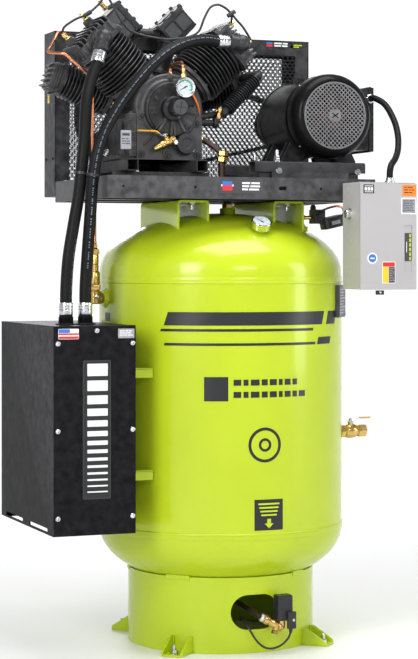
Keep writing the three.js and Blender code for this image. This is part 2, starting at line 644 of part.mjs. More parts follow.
const hoseLeft = [
  hoseStart(0), V(-565, -190, 1100), V(-559, -192, 1190), V(-545, -194, 1280), V(-528, -194, 1375), V(-519, -193, 1449),
  V(-511, -189, 1514), V(-504, -180, 1563), V(-498, -167, 1612), V(-489, -150, 1662), V(-475, -132, 1705), V(-458, -116, 1745),
  endL.clone().addScaledVector(exitL, 35), endL,
];
const hoseRight = [
  hoseStart(1), V(-506, -191, 1100), V(-502, -198, 1200), V(-498, -214, 1320), V(-495, -228, 1420), V(-482, -232, 1500),
  V(-458, -228, 1565), V(-425, -220, 1620), V(-385, -210, 1675), V(-340, -202, 1728), V(-288, -188, 1778),
  V(-226, -166, 1822), V(-160, -140, 1850), V(-98, -116, 1862), endR.clone().addScaledVector(exitR, 35), endR,
];
add("intake_hose_left", tube(hoseLeft, HOSE_R, 8, 20), RUBBER);
add("intake_hose_right", tube(hoseRight, HOSE_R, 8, 26), RUBBER);

// ---------- starter enclosure ----------
const S = STARTER;
let starter = cut(
  box(S.x0, S.x1, S.y0, S.y1, S.z0, S.z1),
  box(S.x0 + SHEET, S.x1 - SHEET, S.y0 - 5, S.y1 - SHEET, S.z0 + SHEET, S.z1 - SHEET),
);
const gland = V(415, -360, S.z1);
starter = join(starter, rod(gland.clone().setZ(S.z1 - 2), gland.clone().setZ(S.z1 + 16), 15, 8));
starter = join(starter, box(S.x0 + 18, S.x0 + 108, S.y1 - 1, DECK.y0 - GAP, 1372, 1416));
starter = join(starter, rod(V(S.x0 + 1, -350, 1325), V(S.x0 - 16, -350, 1325), 13, 8));
add("starter_box", starter, GREY);
let door = box(S.x0 - 1, S.x1 + 1, S.y0 - DOOR_T, S.y0 - GAP, S.z0 - 1, S.z1 - 3);
door = cut(door, box(S.x1 - 40, S.x1 - 14, S.y0 - DOOR_T - 1, S.y0 - 4, 1148, 1290));
door = join(door, box(340, 366, S.y0 - DOOR_T, S.y0 - 1, S.z0 - 16, S.z0));
add("starter_door", door, GREY);
const contactor = join(
  box(330, 420, S.y1 - 78, S.y1 - SHEET - GAP, 1230, 1340),
  box(338, 412, S.y1 - 62, S.y1 - SHEET - GAP, 1150, 1231),
);
add("contactor", contactor, PLASTIC);
const conduit = [
  V(mx + 178, -60.3, 1704), V(mx + 178, -86, 1704), V(mx + 195, -124, 1684), V(mx + 200, -182, 1631), V(mx + 190, -232, 1580),
  V(mx + 168, -278, 1532), V(mx + 139, -318, 1499), V(mx + 110, -347, 1475), V(gland.x + 1, -359, 1456), V(gland.x, -360, S.z1 + 26), V(gland.x, -360, S.z1 + 16.8),
];
add("conduit", tube(conduit, 10, 8, 18), RUBBER);

// ---------- gauges ----------
const faceN = V(-0.02, -0.54, 0.84).normalize();
const domeZ = (x, y) => SEAM_HIGH + FLANGE_HIGH + HEAD_RISE * Math.sqrt(1 - (x * x + y * y) / TANK_R ** 2);
const gBase = V(20, -272, domeZ(20, -272) - 6);
let tankGauge = rod(gBase, gBase.clone().addScaledVector(faceN, 16), 9, 6);
tankGauge = join(tankGauge, rod(gBase.clone().addScaledVector(faceN, 15), gBase.clone().addScaledVector(faceN, 40), 31, 14));
const dial = (mid, n, r) => rod(mid, mid.clone().addScaledVector(n, 6), r, 12);
const gFace = gBase.clone().addScaledVector(faceN, 36);
tankGauge = cut(tankGauge, dial(gFace, faceN, 27), DOME_GROWN);
add("tank_gauge", tankGauge, ZINC);
const oilMid = V(-166, 0, 1714);
let oilGauge = rod(V(oilMid.x, -106, oilMid.z), V(oilMid.x, -132, oilMid.z), 32, 14);
oilGauge = cut(oilGauge, rod(V(oilMid.x, -127, oilMid.z), V(oilMid.x, -137, oilMid.z), 28, 12));
oilGauge = join(oilGauge, rod(V(-167, -118, 1740), V(-171, -118, 1790), 8, 6));
oilGauge = join(oilGauge, rod(V(-171, -118, 1784), V(-178, -28, 1788), 6, 6), rod(V(-178, -30, 1792), V(-180, -30, 1763), 7, 6));
oilGauge = cut(oilGauge, rod(V(cx, CASE_FRONT - 30, cz), V(cx, CASE_BACK, cz), 112.5, 16));
add("oil_gauge", oilGauge, BRASS);

// needle: a thin blade on a pin, in the plane of its dial
function needle(mid, n, tipDir, length) {
  const tip = mid.clone().addScaledVector(tipDir, length);
  const tail = mid.clone().addScaledVector(tipDir, -8);
  return join(rod(mid.clone().addScaledVector(n, -0.9), mid.clone().addScaledVector(n, 0.9), 3, 6), rod(tail, tip, 0.8, 4));
}
const tankTip = V(1, 0, 0).cross(faceN).multiplyScalar(-1).add(V(-0.7, 0, 0)).normalize();
tankTip.addScaledVector(faceN, -tankTip.dot(faceN)).normalize();
add("tank_gauge_needle", needle(gFace.clone().addScaledVector(faceN, 1.4), faceN, tankTip, 19), PLASTIC);
add("oil_gauge_needle", needle(V(oilMid.x, -128.6, oilMid.z), V(0, -1, 0), V(-0.86, 0, -0.5).normalize(), 21), PLASTIC);

// ---------- valves ----------
let outlet = rod(V(398.4, 0, 634), V(414, 0, 634), 14, 12);
outlet = join(outlet, rod(V(413, 0, 634), V(430, 0, 634), 20, 6), rod(V(428, 0, 634), V(476, 0, 634), 22, 10));
outlet = join(outlet, rod(V(474, 0, 634), V(504, 0, 634), 20, 6), rod(V(452, 0, 640), V(452, 0, 664), 9, 10));
outlet = cut(outlet, rod(V(470, 0, 634), V(506, 0, 634), 12, 8));
add("outlet_valve", outlet, BRASS);
const lever = join(
  box(440, 464, -10, 10, 664.4, 668),
  prismY([[462, 664.4], [474, 674], [522, 674], [522, 678], [472, 678], [459, 668]], -9, 9),
);
add("outlet_lever", lever, YELLOW);

const dv = V(-200, 0, 1552);
const dvDir = V(-0.88, 0, -0.47).normalize();
const dvMid = V(dv.x, -92, dv.z);
let drainCock = rod(V(dv.x, CASE_FRONT - GAP, dv.z), V(dv.x, -92, dv.z), 8, 10);
drainCock = join(drainCock, rod(dvMid.clone().addScaledVector(dvDir, -12), dvMid.clone().addScaledVector(dvDir, 34), 12, 8));
drainCock = join(drainCock, rod(dvMid.clone().addScaledVector(dvDir, 32), dvMid.clone().addScaledVector(dvDir, 60), 8, 8));
const dvUp = V(-0.47, 0, 0.88).normalize();
const stemAt = dvMid.clone().addScaledVector(dvDir, 10);
drainCock = join(drainCock, rod(stemAt, stemAt.clone().addScaledVector(dvUp, 22), 5, 8));
add("oil_drain_valve", drainCock, BRASS);
const leverM = new THREE.Matrix4().makeBasis(dvDir, dvUp.clone().cross(dvDir), dvUp);
leverM.setPosition(stemAt);
// the strap climbs from its seat on the stem, then runs level under the grip
const strap = [[-8, 22.4], [8, 22.4], [21, 46.8], [77, 76.6], [75.6, 79.2], [18.8, 49], [6.4, 25], [-8, 25]];
const strapShape = new THREE.Shape(strap.map(([x, z]) => new THREE.Vector2(x, z)));
const strapSolid = new THREE.ExtrudeGeometry(strapShape, { depth: 12, bevelEnabled: false });
const strapTurn = new THREE.Matrix4().makeTranslation(0, 6, 0).multiply(new THREE.Matrix4().makeRotationX(Math.PI / 2));
const drainLever = solid(strapSolid, leverM.clone().multiply(strapTurn));
add("oil_drain_lever", drainLever, YELLOW);

// condensate drain: pipe from the bottom head, solenoid valve in front of the skirt opening
let drain = tube([V(0, -4, 158), V(-2, -30, 142), V(-2, -80, 134), V(0, -180, 126), V(5, -280, 115), V(14, -306, 109)], 9, 6, 8);
drain = join(drain, rod(V(11, -312, 110), V(80, -318, 75), 14, 8), rod(V(56, -318, 88), V(48, -320, 60), 8, 8));
drain = join(drain, rod(V(70, -318, 78), V(76, -320, 106), 10, 8), box(53, 101, -341, -299, 100, 176));
drain = join(drain, box(80, 106, -356, -340, 78, 128));
add("drain_valve", drain, BRASS);
const drainCable = [
  V(90, -348, 77.6), V(89, -348, 66), V(82, -346, 48), V(66, -341, 31), V(46, -336, 21), V(25, -331, 19), V(6, -327, 27),
  V(-10, -322, 43), V(-22, -315, 63), V(-30, -304, 82), V(-31, -288, 91), V(-29, -262, 94), V(-24, -236, 96),
];
add("drain_cable", tube(drainCable, 3.2, 8, 30), RUBBER);

// check valve stack on the left port, and the thin copper line that leaves it
let check = rod(V(-390.4, 0, 1068), V(-414, 0, 1068), 17, 12);
check = join(check, rod(V(-414, 0, 1050), V(-414, 0, 1090), 19, 12), rod(V(-414, 0, 1089), V(-414, 0, 1150), 15, 6));
check = join(check, rod(V(-414, 0, 1149), V(-414, 0, 1205), 11, 10), rod(V(-414, 0, 1204), V(-414, 0, 1228), 14, 6));
add("check_valve", check, BRASS);
const unloaderLine = [
  V(-414, 0, 1228.4), V(-414, 0, 1300), V(-414, 0, 1420), V(-424, -14, 1490), V(-431, -26, 1540), V(-440, -56, 1670),
  V(-450, -70, 1715), V(-463, -79, 1748), V(-486, -84, 1766), V(-510, -85, 1784), V(-534, -82, 1804), V(-542, -79, 1807), V(-568, -52, 1811),
  V(-576, -40, 1815), V(-560, -14, 1835), V(-538, 18, 1861), V(-520, 40, 1884), at(lpL, -42, 20, LP.top + 106),
];
add("unloader_line", tube(unloaderLine, 4, 5, 40), COPPER);

// discharge: pipe from the pump down through the deck to the centre port of the tank
const [px, py] = [PIPE_DOWN.x, PIPE_DOWN.y];
let discharge = tube([V(-82.4, -20, 1562), V(-68, -20, 1561), V(-48, -28, 1549), V(-28, -44, 1530), V(px, py, 1512)], 9, 6, 8);
discharge = join(discharge, rod(V(px, py, 1494), V(px, py, 1524), 17, 6));
discharge = join(
  discharge,
  tube([V(px, py, 1500), V(px, py, 1440), V(px, py, 1400), V(px + 8, py - 4, 1376), V(0, -60, 1358), V(0, -60, 1346.6)], 11, 6, 12),
);
add("discharge_pipe", discharge, COPPER);

// pressure switch on a pipe from the top head
let pswitch = rod(V(226, -120, 1270), V(226, -120, 1326), 10, 6);
pswitch = join(pswitch, rod(V(226, -120, 1318), V(300, -146, 1318), 9, 6), box(252, 288, -164, -120, 1298, 1344));
pswitch = join(pswitch, box(284, 350, -178, -122, 1282, 1326));
add("pressure_switch", cut(pswitch, DOME_GROWN), PLASTIC);

// relief valve on the outer face of the left header box
const bxL = spoke(BOX_ANGLE, -1, BOX_ROW);
const faceL = new THREE.Matrix4().makeRotationY(rad(45));
faceL.setPosition(at(bxL, 0, 0, 298));
const rvA = at(faceL, -59.3, 0, 8);
const rvDir = at(faceL, -60.3, 0, 8).sub(rvA);
let relief = rod(rvA, rvA.clone().addScaledVector(rvDir, 14), 9, 6);
relief = join(relief, rod(rvA.clone().addScaledVector(rvDir, 13), rvA.clone().addScaledVector(rvDir, 36), 7, 10));
add("relief_valve", relief, BRASS);

// ---------- place the part: bottom centre of its box at the origin ----------
const bounds = new THREE.Box3().setFromObject(root);
const mid = bounds.getCenter(new THREE.Vector3());
root.position.set(-mid.x, -mid.y, -bounds.min.z);
root.updateMatrixWorld(true);

export default root;
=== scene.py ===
import json
import math
import random

import bmesh
import bpy
from mathutils import Matrix, Vector
from mathutils.geometry import tessellate_polygon


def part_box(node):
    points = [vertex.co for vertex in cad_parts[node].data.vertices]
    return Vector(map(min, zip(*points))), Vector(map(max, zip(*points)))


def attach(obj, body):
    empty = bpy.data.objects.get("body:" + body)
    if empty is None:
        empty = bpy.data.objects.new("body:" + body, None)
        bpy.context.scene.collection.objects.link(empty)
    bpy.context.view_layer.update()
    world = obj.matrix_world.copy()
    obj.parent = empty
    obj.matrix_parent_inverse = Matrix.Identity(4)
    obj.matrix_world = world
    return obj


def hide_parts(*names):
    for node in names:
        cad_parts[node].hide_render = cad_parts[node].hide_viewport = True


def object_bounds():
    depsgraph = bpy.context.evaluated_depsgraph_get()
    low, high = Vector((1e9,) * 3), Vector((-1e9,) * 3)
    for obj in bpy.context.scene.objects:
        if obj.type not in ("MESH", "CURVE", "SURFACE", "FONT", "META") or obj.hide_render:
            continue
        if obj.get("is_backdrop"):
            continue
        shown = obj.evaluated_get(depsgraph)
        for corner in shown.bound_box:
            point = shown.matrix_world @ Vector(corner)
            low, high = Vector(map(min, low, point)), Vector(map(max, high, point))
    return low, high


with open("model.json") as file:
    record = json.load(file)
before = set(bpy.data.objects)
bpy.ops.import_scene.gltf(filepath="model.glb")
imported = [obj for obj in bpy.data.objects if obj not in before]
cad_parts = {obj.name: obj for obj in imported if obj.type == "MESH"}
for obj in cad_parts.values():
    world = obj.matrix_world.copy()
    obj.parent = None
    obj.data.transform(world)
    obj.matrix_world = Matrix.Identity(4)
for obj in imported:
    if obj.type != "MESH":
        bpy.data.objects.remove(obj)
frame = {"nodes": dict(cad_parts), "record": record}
cad_low, cad_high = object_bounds()
random.seed(7)


# ---------- places taken from the frame ----------
head_low, head_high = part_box("tank_bottom_head")
AXIS = Vector(((head_low.x + head_high.x) / 2, (head_low.y + head_high.y) / 2, 0.0))
TO_FRAME = Matrix.Translation(AXIS) @ Matrix.Scale(0.001, 4)


def V(x, y, z):
    return Vector((x, y, z))


def moved(x, y, z):
    return Matrix.Translation(V(x, y, z))


def turned(degrees, axis):
    return Matrix.Rotation(math.radians(degrees), 4, axis)


def node_box(name):
    low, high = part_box(name)
    low, high = (low - AXIS) * 1000, (high - AXIS) * 1000
    return low.x, high.x, low.y, high.y, low.z, high.z


TANK_R = (head_high.x - head_low.x) * 500
FLANGE_LOW = 15
FLANGE_HIGH = 29
SEAM_LOW = node_box("tank_bottom_head")[5]
SEAM_HIGH = node_box("tank_top_head")[4]
HEAD_RISE = SEAM_LOW - FLANGE_LOW - node_box("tank_bottom_head")[4]
SKIRT_R = 290
SKIRT_TOP = node_box("tank_skirt")[5]
DECK = node_box("deck_frame")
DECK_Z0 = DECK[4]
DECK_TOP = DECK_Z0 + 66
RISER_TOP = DECK_TOP + 22
SIL = node_box("silencer_body")
SIL_TOP = SIL[5] - 30
GUARD = node_box("guard_shell")
DOOR = node_box("starter_door")
BOX = node_box("starter_box")
CRANK_X = -190
CRANK_Z = 1650
PUMP_BASE = node_box("crankcase")[4]
CASE_FRONT = -55
CASE_BACK = 225
LP_ANGLE, HP_ANGLE, BOX_ANGLE = 47, 70.5, 18.5
LP_ROW, HP_ROW, BOX_ROW = 30, 165, 173
LP_TOP, HP_TOP = 280, 300
MOTOR_X, MOTOR_Z = 316, 1637
CHANNEL_X = (-155, 161)
PIPE_DOWN = (-16, -52)
HOSE_R = 18


# ---------- camera ----------
YAW = math.radians(21.5)
CAMERA_AWAY = 6300
CAMERA_HEIGHT = 1170
camera_data = bpy.data.cameras.new("camera")
camera_data.lens = 109.26
camera_data.sensor_width = 36
camera_data.shift_x = -0.0173
camera_data.shift_y = -0.098
camera = bpy.data.objects.new("camera", camera_data)
bpy.context.scene.collection.objects.link(camera)
camera.location = TO_FRAME @ V(-math.sin(YAW) * CAMERA_AWAY, -math.cos(YAW) * CAMERA_AWAY, CAMERA_HEIGHT)
camera.rotation_euler = (math.pi / 2, 0, -YAW)
bpy.context.scene.camera = camera
bpy.context.scene.view_settings.view_transform = "Standard"


# ---------- materials ----------
ROUGHNESS_SPREAD = 0.03


def surface(name, colour, roughness, metallic=0.0, coat=0.0, shade=0.12, grain=300, bump=0.1,
            edge_wear_and_highlight=None, edge_wear_and_highlight_share=0.5, broad=5.0, specular=0.5):
    """A finish with slow colour drift, uneven roughness and fine grain; the edge colour, if given, lightens
    its convex edges, partly as rubbed wear and partly as a painted highlight.
    """
    look = bpy.data.materials.new(name)
    look.use_nodes = True
    nodes, links = look.node_tree.nodes, look.node_tree.links
    shader = nodes["Principled BSDF"]
    shader.inputs["Metallic"].default_value = metallic
    shader.inputs["Coat Weight"].default_value = coat
    shader.inputs["Coat Roughness"].default_value = 0.06
    shader.inputs["Specular IOR Level"].default_value = specular
    where = nodes.new("ShaderNodeTexCoord").outputs["Object"]

    def noise(scale, detail):
        node = nodes.new("ShaderNodeTexNoise")
        node.inputs["Scale"].default_value = scale
        node.inputs["Detail"].default_value = detail
        links.new(where, node.inputs["Vector"])
        return node.outputs["Fac"]

    def ranged(value, low, high, start=0.3, end=0.7):
        node = nodes.new("ShaderNodeMapRange")
        for socket, number in zip(("From Min", "From Max", "To Min", "To Max"), (start, end, low, high)):
            node.inputs[socket].default_value = number
        links.new(value, node.inputs["Value"])
        return node.outputs["Result"]

    def mixed(share, a, b):
        node = nodes.new("ShaderNodeMix")
        node.data_type = "RGBA"
        links.new(share, node.inputs["Factor"])
        for socket, value in (("A", a), ("B", b)):
            target = next(i for i in node.inputs if i.name == socket and i.type == "RGBA")
            if isinstance(value, bpy.types.NodeSocket):
                links.new(value, target)
            else:
                target.default_value = (*value, 1)
        return next(o for o in node.outputs if o.type == "RGBA")

    dark = [c * (1 - shade) for c in colour]
    light = [min(1.0, c * (1 + shade * 0.6)) for c in colour]
    base = mixed(ranged(noise(broad, 5), 0, 1), dark, light)
    fine = noise(grain, 3)
    # Painted highlight and wear: convex edges found by pointiness take the lighter edge colour, in patches.
    if edge_wear_and_highlight:
        edge = nodes.new("ShaderNodeNewGeometry").outputs["Pointiness"]
        rubbed_and_highlit = nodes.new("ShaderNodeMath")
        rubbed_and_highlit.operation = "MULTIPLY"
        links.new(ranged(edge, 0, edge_wear_and_highlight_share, 0.51, 0.58), rubbed_and_highlit.inputs[0])
        links.new(ranged(noise(40, 4), 0.2, 1), rubbed_and_highlit.inputs[1])
        base = mixed(rubbed_and_highlit.outputs[0], base, edge_wear_and_highlight)
    links.new(base, shader.inputs["Base Color"])
    links.new(ranged(noise(broad * 6, 4), roughness - ROUGHNESS_SPREAD, roughness + ROUGHNESS_SPREAD),
              shader.inputs["Roughness"])
    relief = nodes.new("ShaderNodeBump")
    relief.inputs["Strength"].default_value = bump
    relief.inputs["Distance"].default_value = 0.001
    links.new(fine, relief.inputs["Height"])
    links.new(relief.outputs["Normal"], shader.inputs["Normal"])
    return look


LIME = surface("lime_gloss_paint", (0.47, 0.595, 0.016), 0.24, coat=0.2, specular=0.34, shade=0.05,
               grain=170, bump=0.045)
BLACK = surface("black_powder_coat", (0.014, 0.0136, 0.015), 0.42, shade=0.08, grain=900, bump=0.16,
                edge_wear_and_highlight=(0.15, 0.15, 0.155), specular=0.3)
SILENCER_BLACK = surface("silencer_powder_coat", (0.0045, 0.0042, 0.005), 0.42, shade=0.08, grain=900,
                         bump=0.12, edge_wear_and_highlight=(0.08, 0.08, 0.085), specular=0.035)
GUARD_BLACK = surface("guard_powder_coat", (0.009, 0.0088, 0.01), 0.42, shade=0.08, grain=900, bump=0.14,
                      edge_wear_and_highlight=(0.12, 0.12, 0.125), specular=0.08)
MOTOR_BLACK = surface("motor_gloss_black", (0.004, 0.004, 0.0044), 0.32, shade=0.2, grain=500, bump=0.1,
                      coat=0.06, edge_wear_and_highlight=(0.1, 0.1, 0.105), specular=0.08)
GRILL = surface("fan_grill_grey", (0.15, 0.15, 0.155), 0.42, shade=0.2, grain=500, bump=0.1,
                edge_wear_and_highlight=(0.3, 0.3, 0.3))
CAST = surface("black_painted_casting", (0.01, 0.01, 0.011), 0.36, shade=0.2, grain=420, bump=0.35,
               specular=0.3, edge_wear_and_highlight=(0.16, 0.16, 0.165), edge_wear_and_highlight_share=0.65)
GREY_CAST = surface("grey_black_casting", (0.035, 0.036, 0.038), 0.42, shade=0.25, grain=420, bump=0.35,
                    edge_wear_and_highlight=(0.18, 0.18, 0.185))
STEEL = surface("turned_steel", (0.5, 0.5, 0.51), 0.3, metallic=1, shade=0.15, grain=500)
ZINC = surface("zinc_plated_steel", (0.66, 0.67, 0.69), 0.27, metallic=1, shade=0.18, grain=350, bump=0.12)
CHROME = surface("chromed_case", (0.72, 0.73, 0.74), 0.12, metallic=1, shade=0.06, grain=200, bump=0.02)
BRASS = surface("brass", (0.66, 0.43, 0.13), 0.26, metallic=1, shade=0.2, grain=500, bump=0.12,
                edge_wear_and_highlight=(0.85, 0.66, 0.32))
COPPER = surface("copper_tube", (0.68, 0.27, 0.13), 0.28, metallic=1, shade=0.22, grain=260, bump=0.05)
DARK_COPPER = surface("oxidised_copper", (0.075, 0.045, 0.038), 0.42, metallic=0.6, shade=0.3, grain=260,
                      bump=0.1)
RUBBER = surface("black_hose_rubber", (0.009, 0.009, 0.0095), 0.46, shade=0.2, grain=700, bump=0.18,
                 specular=0.12)
BELT = surface("belt_rubber", (0.02, 0.02, 0.02), 0.7, shade=0.2, grain=700, bump=0.3)
GREY = surface("starter_grey_paint", (0.42, 0.41, 0.415), 0.36, shade=0.04, grain=800, bump=0.06, coat=0.1)
YELLOW = surface("yellow_dipped_grip", (0.86, 0.46, 0.012), 0.4, shade=0.06, grain=350, bump=0.08)
PLASTIC = surface("black_moulded_plastic", (0.018, 0.018, 0.02), 0.42, shade=0.2, grain=600, bump=0.14)
RED_PLASTIC = surface("red_brown_fan_plastic", (0.11, 0.03, 0.022), 0.5, shade=0.2)
WHITE = surface("white_ink", (0.78, 0.78, 0.78), 0.4, shade=0.03, bump=0.03)
DIAL = surface("dial_white", (0.55, 0.61, 0.64), 0.35, shade=0.02, bump=0.01)
INK = surface("black_ink", (0.012, 0.013, 0.014), 0.36, shade=0.1, bump=0.03)
BLUE_INK = surface("pale_blue_print", (0.16, 0.21, 0.28), 0.5, shade=0.25, broad=60)
GREEN_INK = surface("green_print", (0.01, 0.3, 0.16), 0.4, shade=0.05, bump=0.02)
BLUE = surface("blue_sticker", (0.04, 0.16, 0.55), 0.35, shade=0.05, bump=0.02)
RED = surface("red_sticker", (0.62, 0.03, 0.03), 0.35, shade=0.05, bump=0.02)
ORANGE = surface("orange_sticker", (0.9, 0.22, 0.02), 0.4, shade=0.05, bump=0.02)
SUN = surface("yellow_sticker", (0.85, 0.55, 0.02), 0.4, shade=0.05, bump=0.02)
SILVER = surface("silver_foil_label", (0.42, 0.42, 0.46), 0.36, metallic=0.6, shade=0.2, broad=120,
                 bump=0.05)
SLATE = surface("slate_label", (0.055, 0.052, 0.062), 0.4, shade=0.1, bump=0.03)
PAPER = surface("filter_paper", (0.78, 0.77, 0.72), 0.8, shade=0.08, grain=500, bump=0.3)
ALLOY = surface("cast_aluminium", (0.6, 0.61, 0.62), 0.4, metallic=1, shade=0.15, grain=350, bump=0.2)
# Painted shade: a flat near-black for slots that are drawn as dark marks rather than cut.
SHADOW = surface("painted_slot_shade", (0.006, 0.006, 0.007), 0.9, shade=0.1)


# ---------- mesh helpers ----------
class Shells:
    """The closed shells of one piece. at() sets where the next ones go, and paint() picks their material."""

    def __init__(self):
        self.points, self.faces, self.looks = [], [], []
        self.place = Matrix()
        self.look = 0

    def at(self, place=None):
        self.place = place or Matrix()
        return self

    def paint(self, look):
        self.look = look
        return self

    def add(self, points, faces):
        start = len(self.points)
        self.points += [self.place @ Vector(p) for p in points]
        self.faces += [[start + i for i in face] for face in faces]
        self.looks += [self.look] * len(faces)
        return self

    def box(self, x0, x1, y0, y1, z0, z1):
        points = [(x, y, z) for z in (z0, z1) for y in (y0, y1) for x in (x0, x1)]
        faces = [(0, 2, 3, 1), (4, 5, 7, 6), (0, 1, 5, 4), (2, 6, 7, 3), (0, 4, 6, 2), (1, 3, 7, 5)]
        return self.add(points, faces)

    def lathe(self, profile, sides=48):
        """Turns [radius, height] pairs about local Z; a profile whose ends meet is a ring."""
        ring = profile[0] == profile[-1]
        rows, points, faces = [], [], []
        for r, z in profile[:-1] if ring else profile:
            start = len(points)
            if r < 1e-6:
                points.append((0, 0, z))
                rows.append([start] * sides)
                continue
            turns = [2 * math.pi * i / sides for i in range(sides)]
            points += [(r * math.cos(a), r * math.sin(a), z) for a in turns]
            rows.append([start + i for i in range(sides)])
        pairs = list(zip(rows, rows[1:])) + ([(rows[-1], rows[0])] if ring else [])
        for low, high in pairs:
            for i in range(sides):
                j = (i + 1) % sides
                quad = [low[i], low[j], high[j], high[i]]
                face = [p for k, p in enumerate(quad) if p not in quad[:k]]
                if len(face) > 2:
                    faces.append(face)
        return self.add(points, faces)

    def rod(self, a, b, r0, r1=None, sides=24, edge=0.0):
        r1 = r0 if r1 is None else r1
        length = (b - a).length
        held = self.place
        self.place = held @ aim(a, b - a)
        profile = [(0, 0), (r0 - edge, 0)]
        if edge:
            profile += [(r0, edge), (r1, length - edge)]
        profile += [(r1 - edge, length), (0, length)]
        self.lathe(profile, sides)
        self.place = held
        return self

    def prism(self, outline, z0, z1, holes=()):
        """Extrudes an outline in local x and y, with holes, from z0 to z1."""
        loops = [list(outline), *[list(h) for h in holes]]
        flat = [p for line in loops for p in line]
        tris = tessellate_polygon([[(x, y, 0) for x, y in line] for line in loops])
        n = len(flat)
        points = [(x, y, z0) for x, y in flat] + [(x, y, z1) for x, y in flat]
        faces = [tuple(reversed(t)) for t in tris] + [tuple(i + n for i in t) for t in tris]
        start = 0
        for line in loops:
            for i in range(len(line)):
                a, b = start + i, start + (i + 1) % len(line)
                faces.append((a, b, b + n, a + n))
            start += len(line)
        return self.add(points, faces)

    def tube(self, line, radius, sides=16):
        """A round bar along a line of points; radius is a number or one number for each point."""
        radii = radius if isinstance(radius, list) else [radius] * len(line)
        side = None
        points, faces = [], []
        for i, p in enumerate(line):
            ahead = (line[min(i + 1, len(line) - 1)] - line[max(i - 1, 0)]).normalized()
            if side is None:
                side = ahead.orthogonal().normalized()
            side = (side - ahead * side.dot(ahead)).normalized()
            other = ahead.cross(side)
            for k in range(sides):
                a = 2 * math.pi * k / sides
                points.append(p + radii[i] * (side * math.cos(a) + other * math.sin(a)))
        for i in range(len(line) - 1):
            for k in range(sides):
                a, b = i * sides + k, i * sides + (k + 1) % sides
                faces.append((a, b, b + sides, a + sides))
        faces.append(tuple(reversed(range(sides))))
        last = (len(line) - 1) * sides
        faces.append(tuple(range(last, last + sides)))
        return self.add(points, faces)

    def bolt(self, p, out, size, washer=True):
        """A hexagon head on its washer; size is the distance across the flats."""
        held = self.place
        self.place = held @ aim(p, out)
        if washer:
            self.lathe([(0, 0), (size * 0.72, 0), (size * 0.72, size * 0.1), (0, size * 0.1)], 20)
        r = size / 2 / math.cos(math.pi / 6)
        z0, z1 = size * 0.08, size * 0.55
        self.lathe([(0, z0), (r, z0), (r, z1 - 0.08 * size), (r * 0.88, z1), (0, z1 + 0.02 * size)], 6)
        self.place = held
        return self

    def screw(self, p, out, r):
        """A pan-head screw with a hexagon washer face."""
        held = self.place
        self.place = held @ aim(p, out)
        self.lathe([(0, 0), (r, 0), (r, r * 0.2), (r * 0.72, r * 0.3), (r * 0.66, r * 0.62),
                    (r * 0.4, r * 0.8), (r * 0.22, r * 0.5), (0, r * 0.45)], 20)
        self.place = held
        return self


def aim(p, out):
    """A matrix that carries local +Z onto out, with its origin at p."""
    return Matrix.Translation(p) @ out.normalized().to_track_quat("Z", "Y").to_matrix().to_4x4()


def basis(p, x, y, z):
    m = Matrix((x, y, z)).transposed().to_4x4()
    return Matrix.Translation(p) @ m


def facing_front(x, y, z):
    """Local x to the right, local y up, local z out of a front face at this place."""
    return basis(V(x, y, z), V(1, 0, 0), V(0, 0, 1), V(0, -1, 0))


def facing_left(x, y, z):
    return basis(V(x, y, z), V(0, -1, 0), V(0, 0, 1), V(-1, 0, 0))


def along_y(x, z):
    """Local z along +Y, local x along +X."""
    return basis(V(x, 0, z), V(1, 0, 0), V(0, 0, -1), V(0, 1, 0))


def spoke(angle, side, row):
    """A cylinder's frame round the crank: local z outward, local y to the back."""
    a = math.radians(angle) * side
    out, across = V(math.sin(a), 0, math.cos(a)), V(math.cos(a), 0, -math.sin(a))
    return basis(V(CRANK_X, row, CRANK_Z), across, V(0, 1, 0), out)


def circle(x, y, r, sides=24, start=0.0, sweep=2 * math.pi):
    count = sides if sweep > 6.28 else sides + 1
    steps = [start + sweep * i / sides for i in range(count)]
    return [(x + r * math.cos(a), y + r * math.sin(a)) for a in steps]


def rounded(x0, x1, y0, y1, r, steps=4):
    """A rectangle's outline with round corners."""
    out = []
    for cx, cy, start in ((x1 - r, y1 - r, 0), (x0 + r, y1 - r, 1), (x0 + r, y0 + r, 2),
                          (x1 - r, y0 + r, 3)):
        out += circle(cx, cy, r, steps, start * math.pi / 2, math.pi / 2)
    return out


def smooth_line(points, steps=10):
    """A centripetal Catmull-Rom line through the points, as the CAD tubes follow."""
    pts = [2 * points[0] - points[1], *points, 2 * points[-1] - points[-2]]
    line = []
    for i in range(1, len(pts) - 2):
        p = pts[i - 1:i + 3]
        knots = [0.0]
        for a, b in zip(p, p[1:]):
            knots.append(knots[-1] + max((b - a).length, 1e-6) ** 0.5)
        t0, t1, t2, t3 = knots
        for k in range(steps):
            t = t1 + (t2 - t1) * k / steps
            a1 = p[0] * ((t1 - t) / (t1 - t0)) + p[1] * ((t - t0) / (t1 - t0))
            a2 = p[1] * ((t2 - t) / (t2 - t1)) + p[2] * ((t - t1) / (t2 - t1))
            a3 = p[2] * ((t3 - t) / (t3 - t2)) + p[3] * ((t - t2) / (t3 - t2))
            b1 = a1 * ((t2 - t) / (t2 - t0)) + a2 * ((t - t0) / (t2 - t0))
            b2 = a2 * ((t3 - t) / (t3 - t1)) + a3 * ((t - t1) / (t3 - t1))
            line.append(b1 * ((t2 - t) / (t2 - t1)) + b2 * ((t - t1) / (t2 - t1)))
    return [*line, points[-1]]


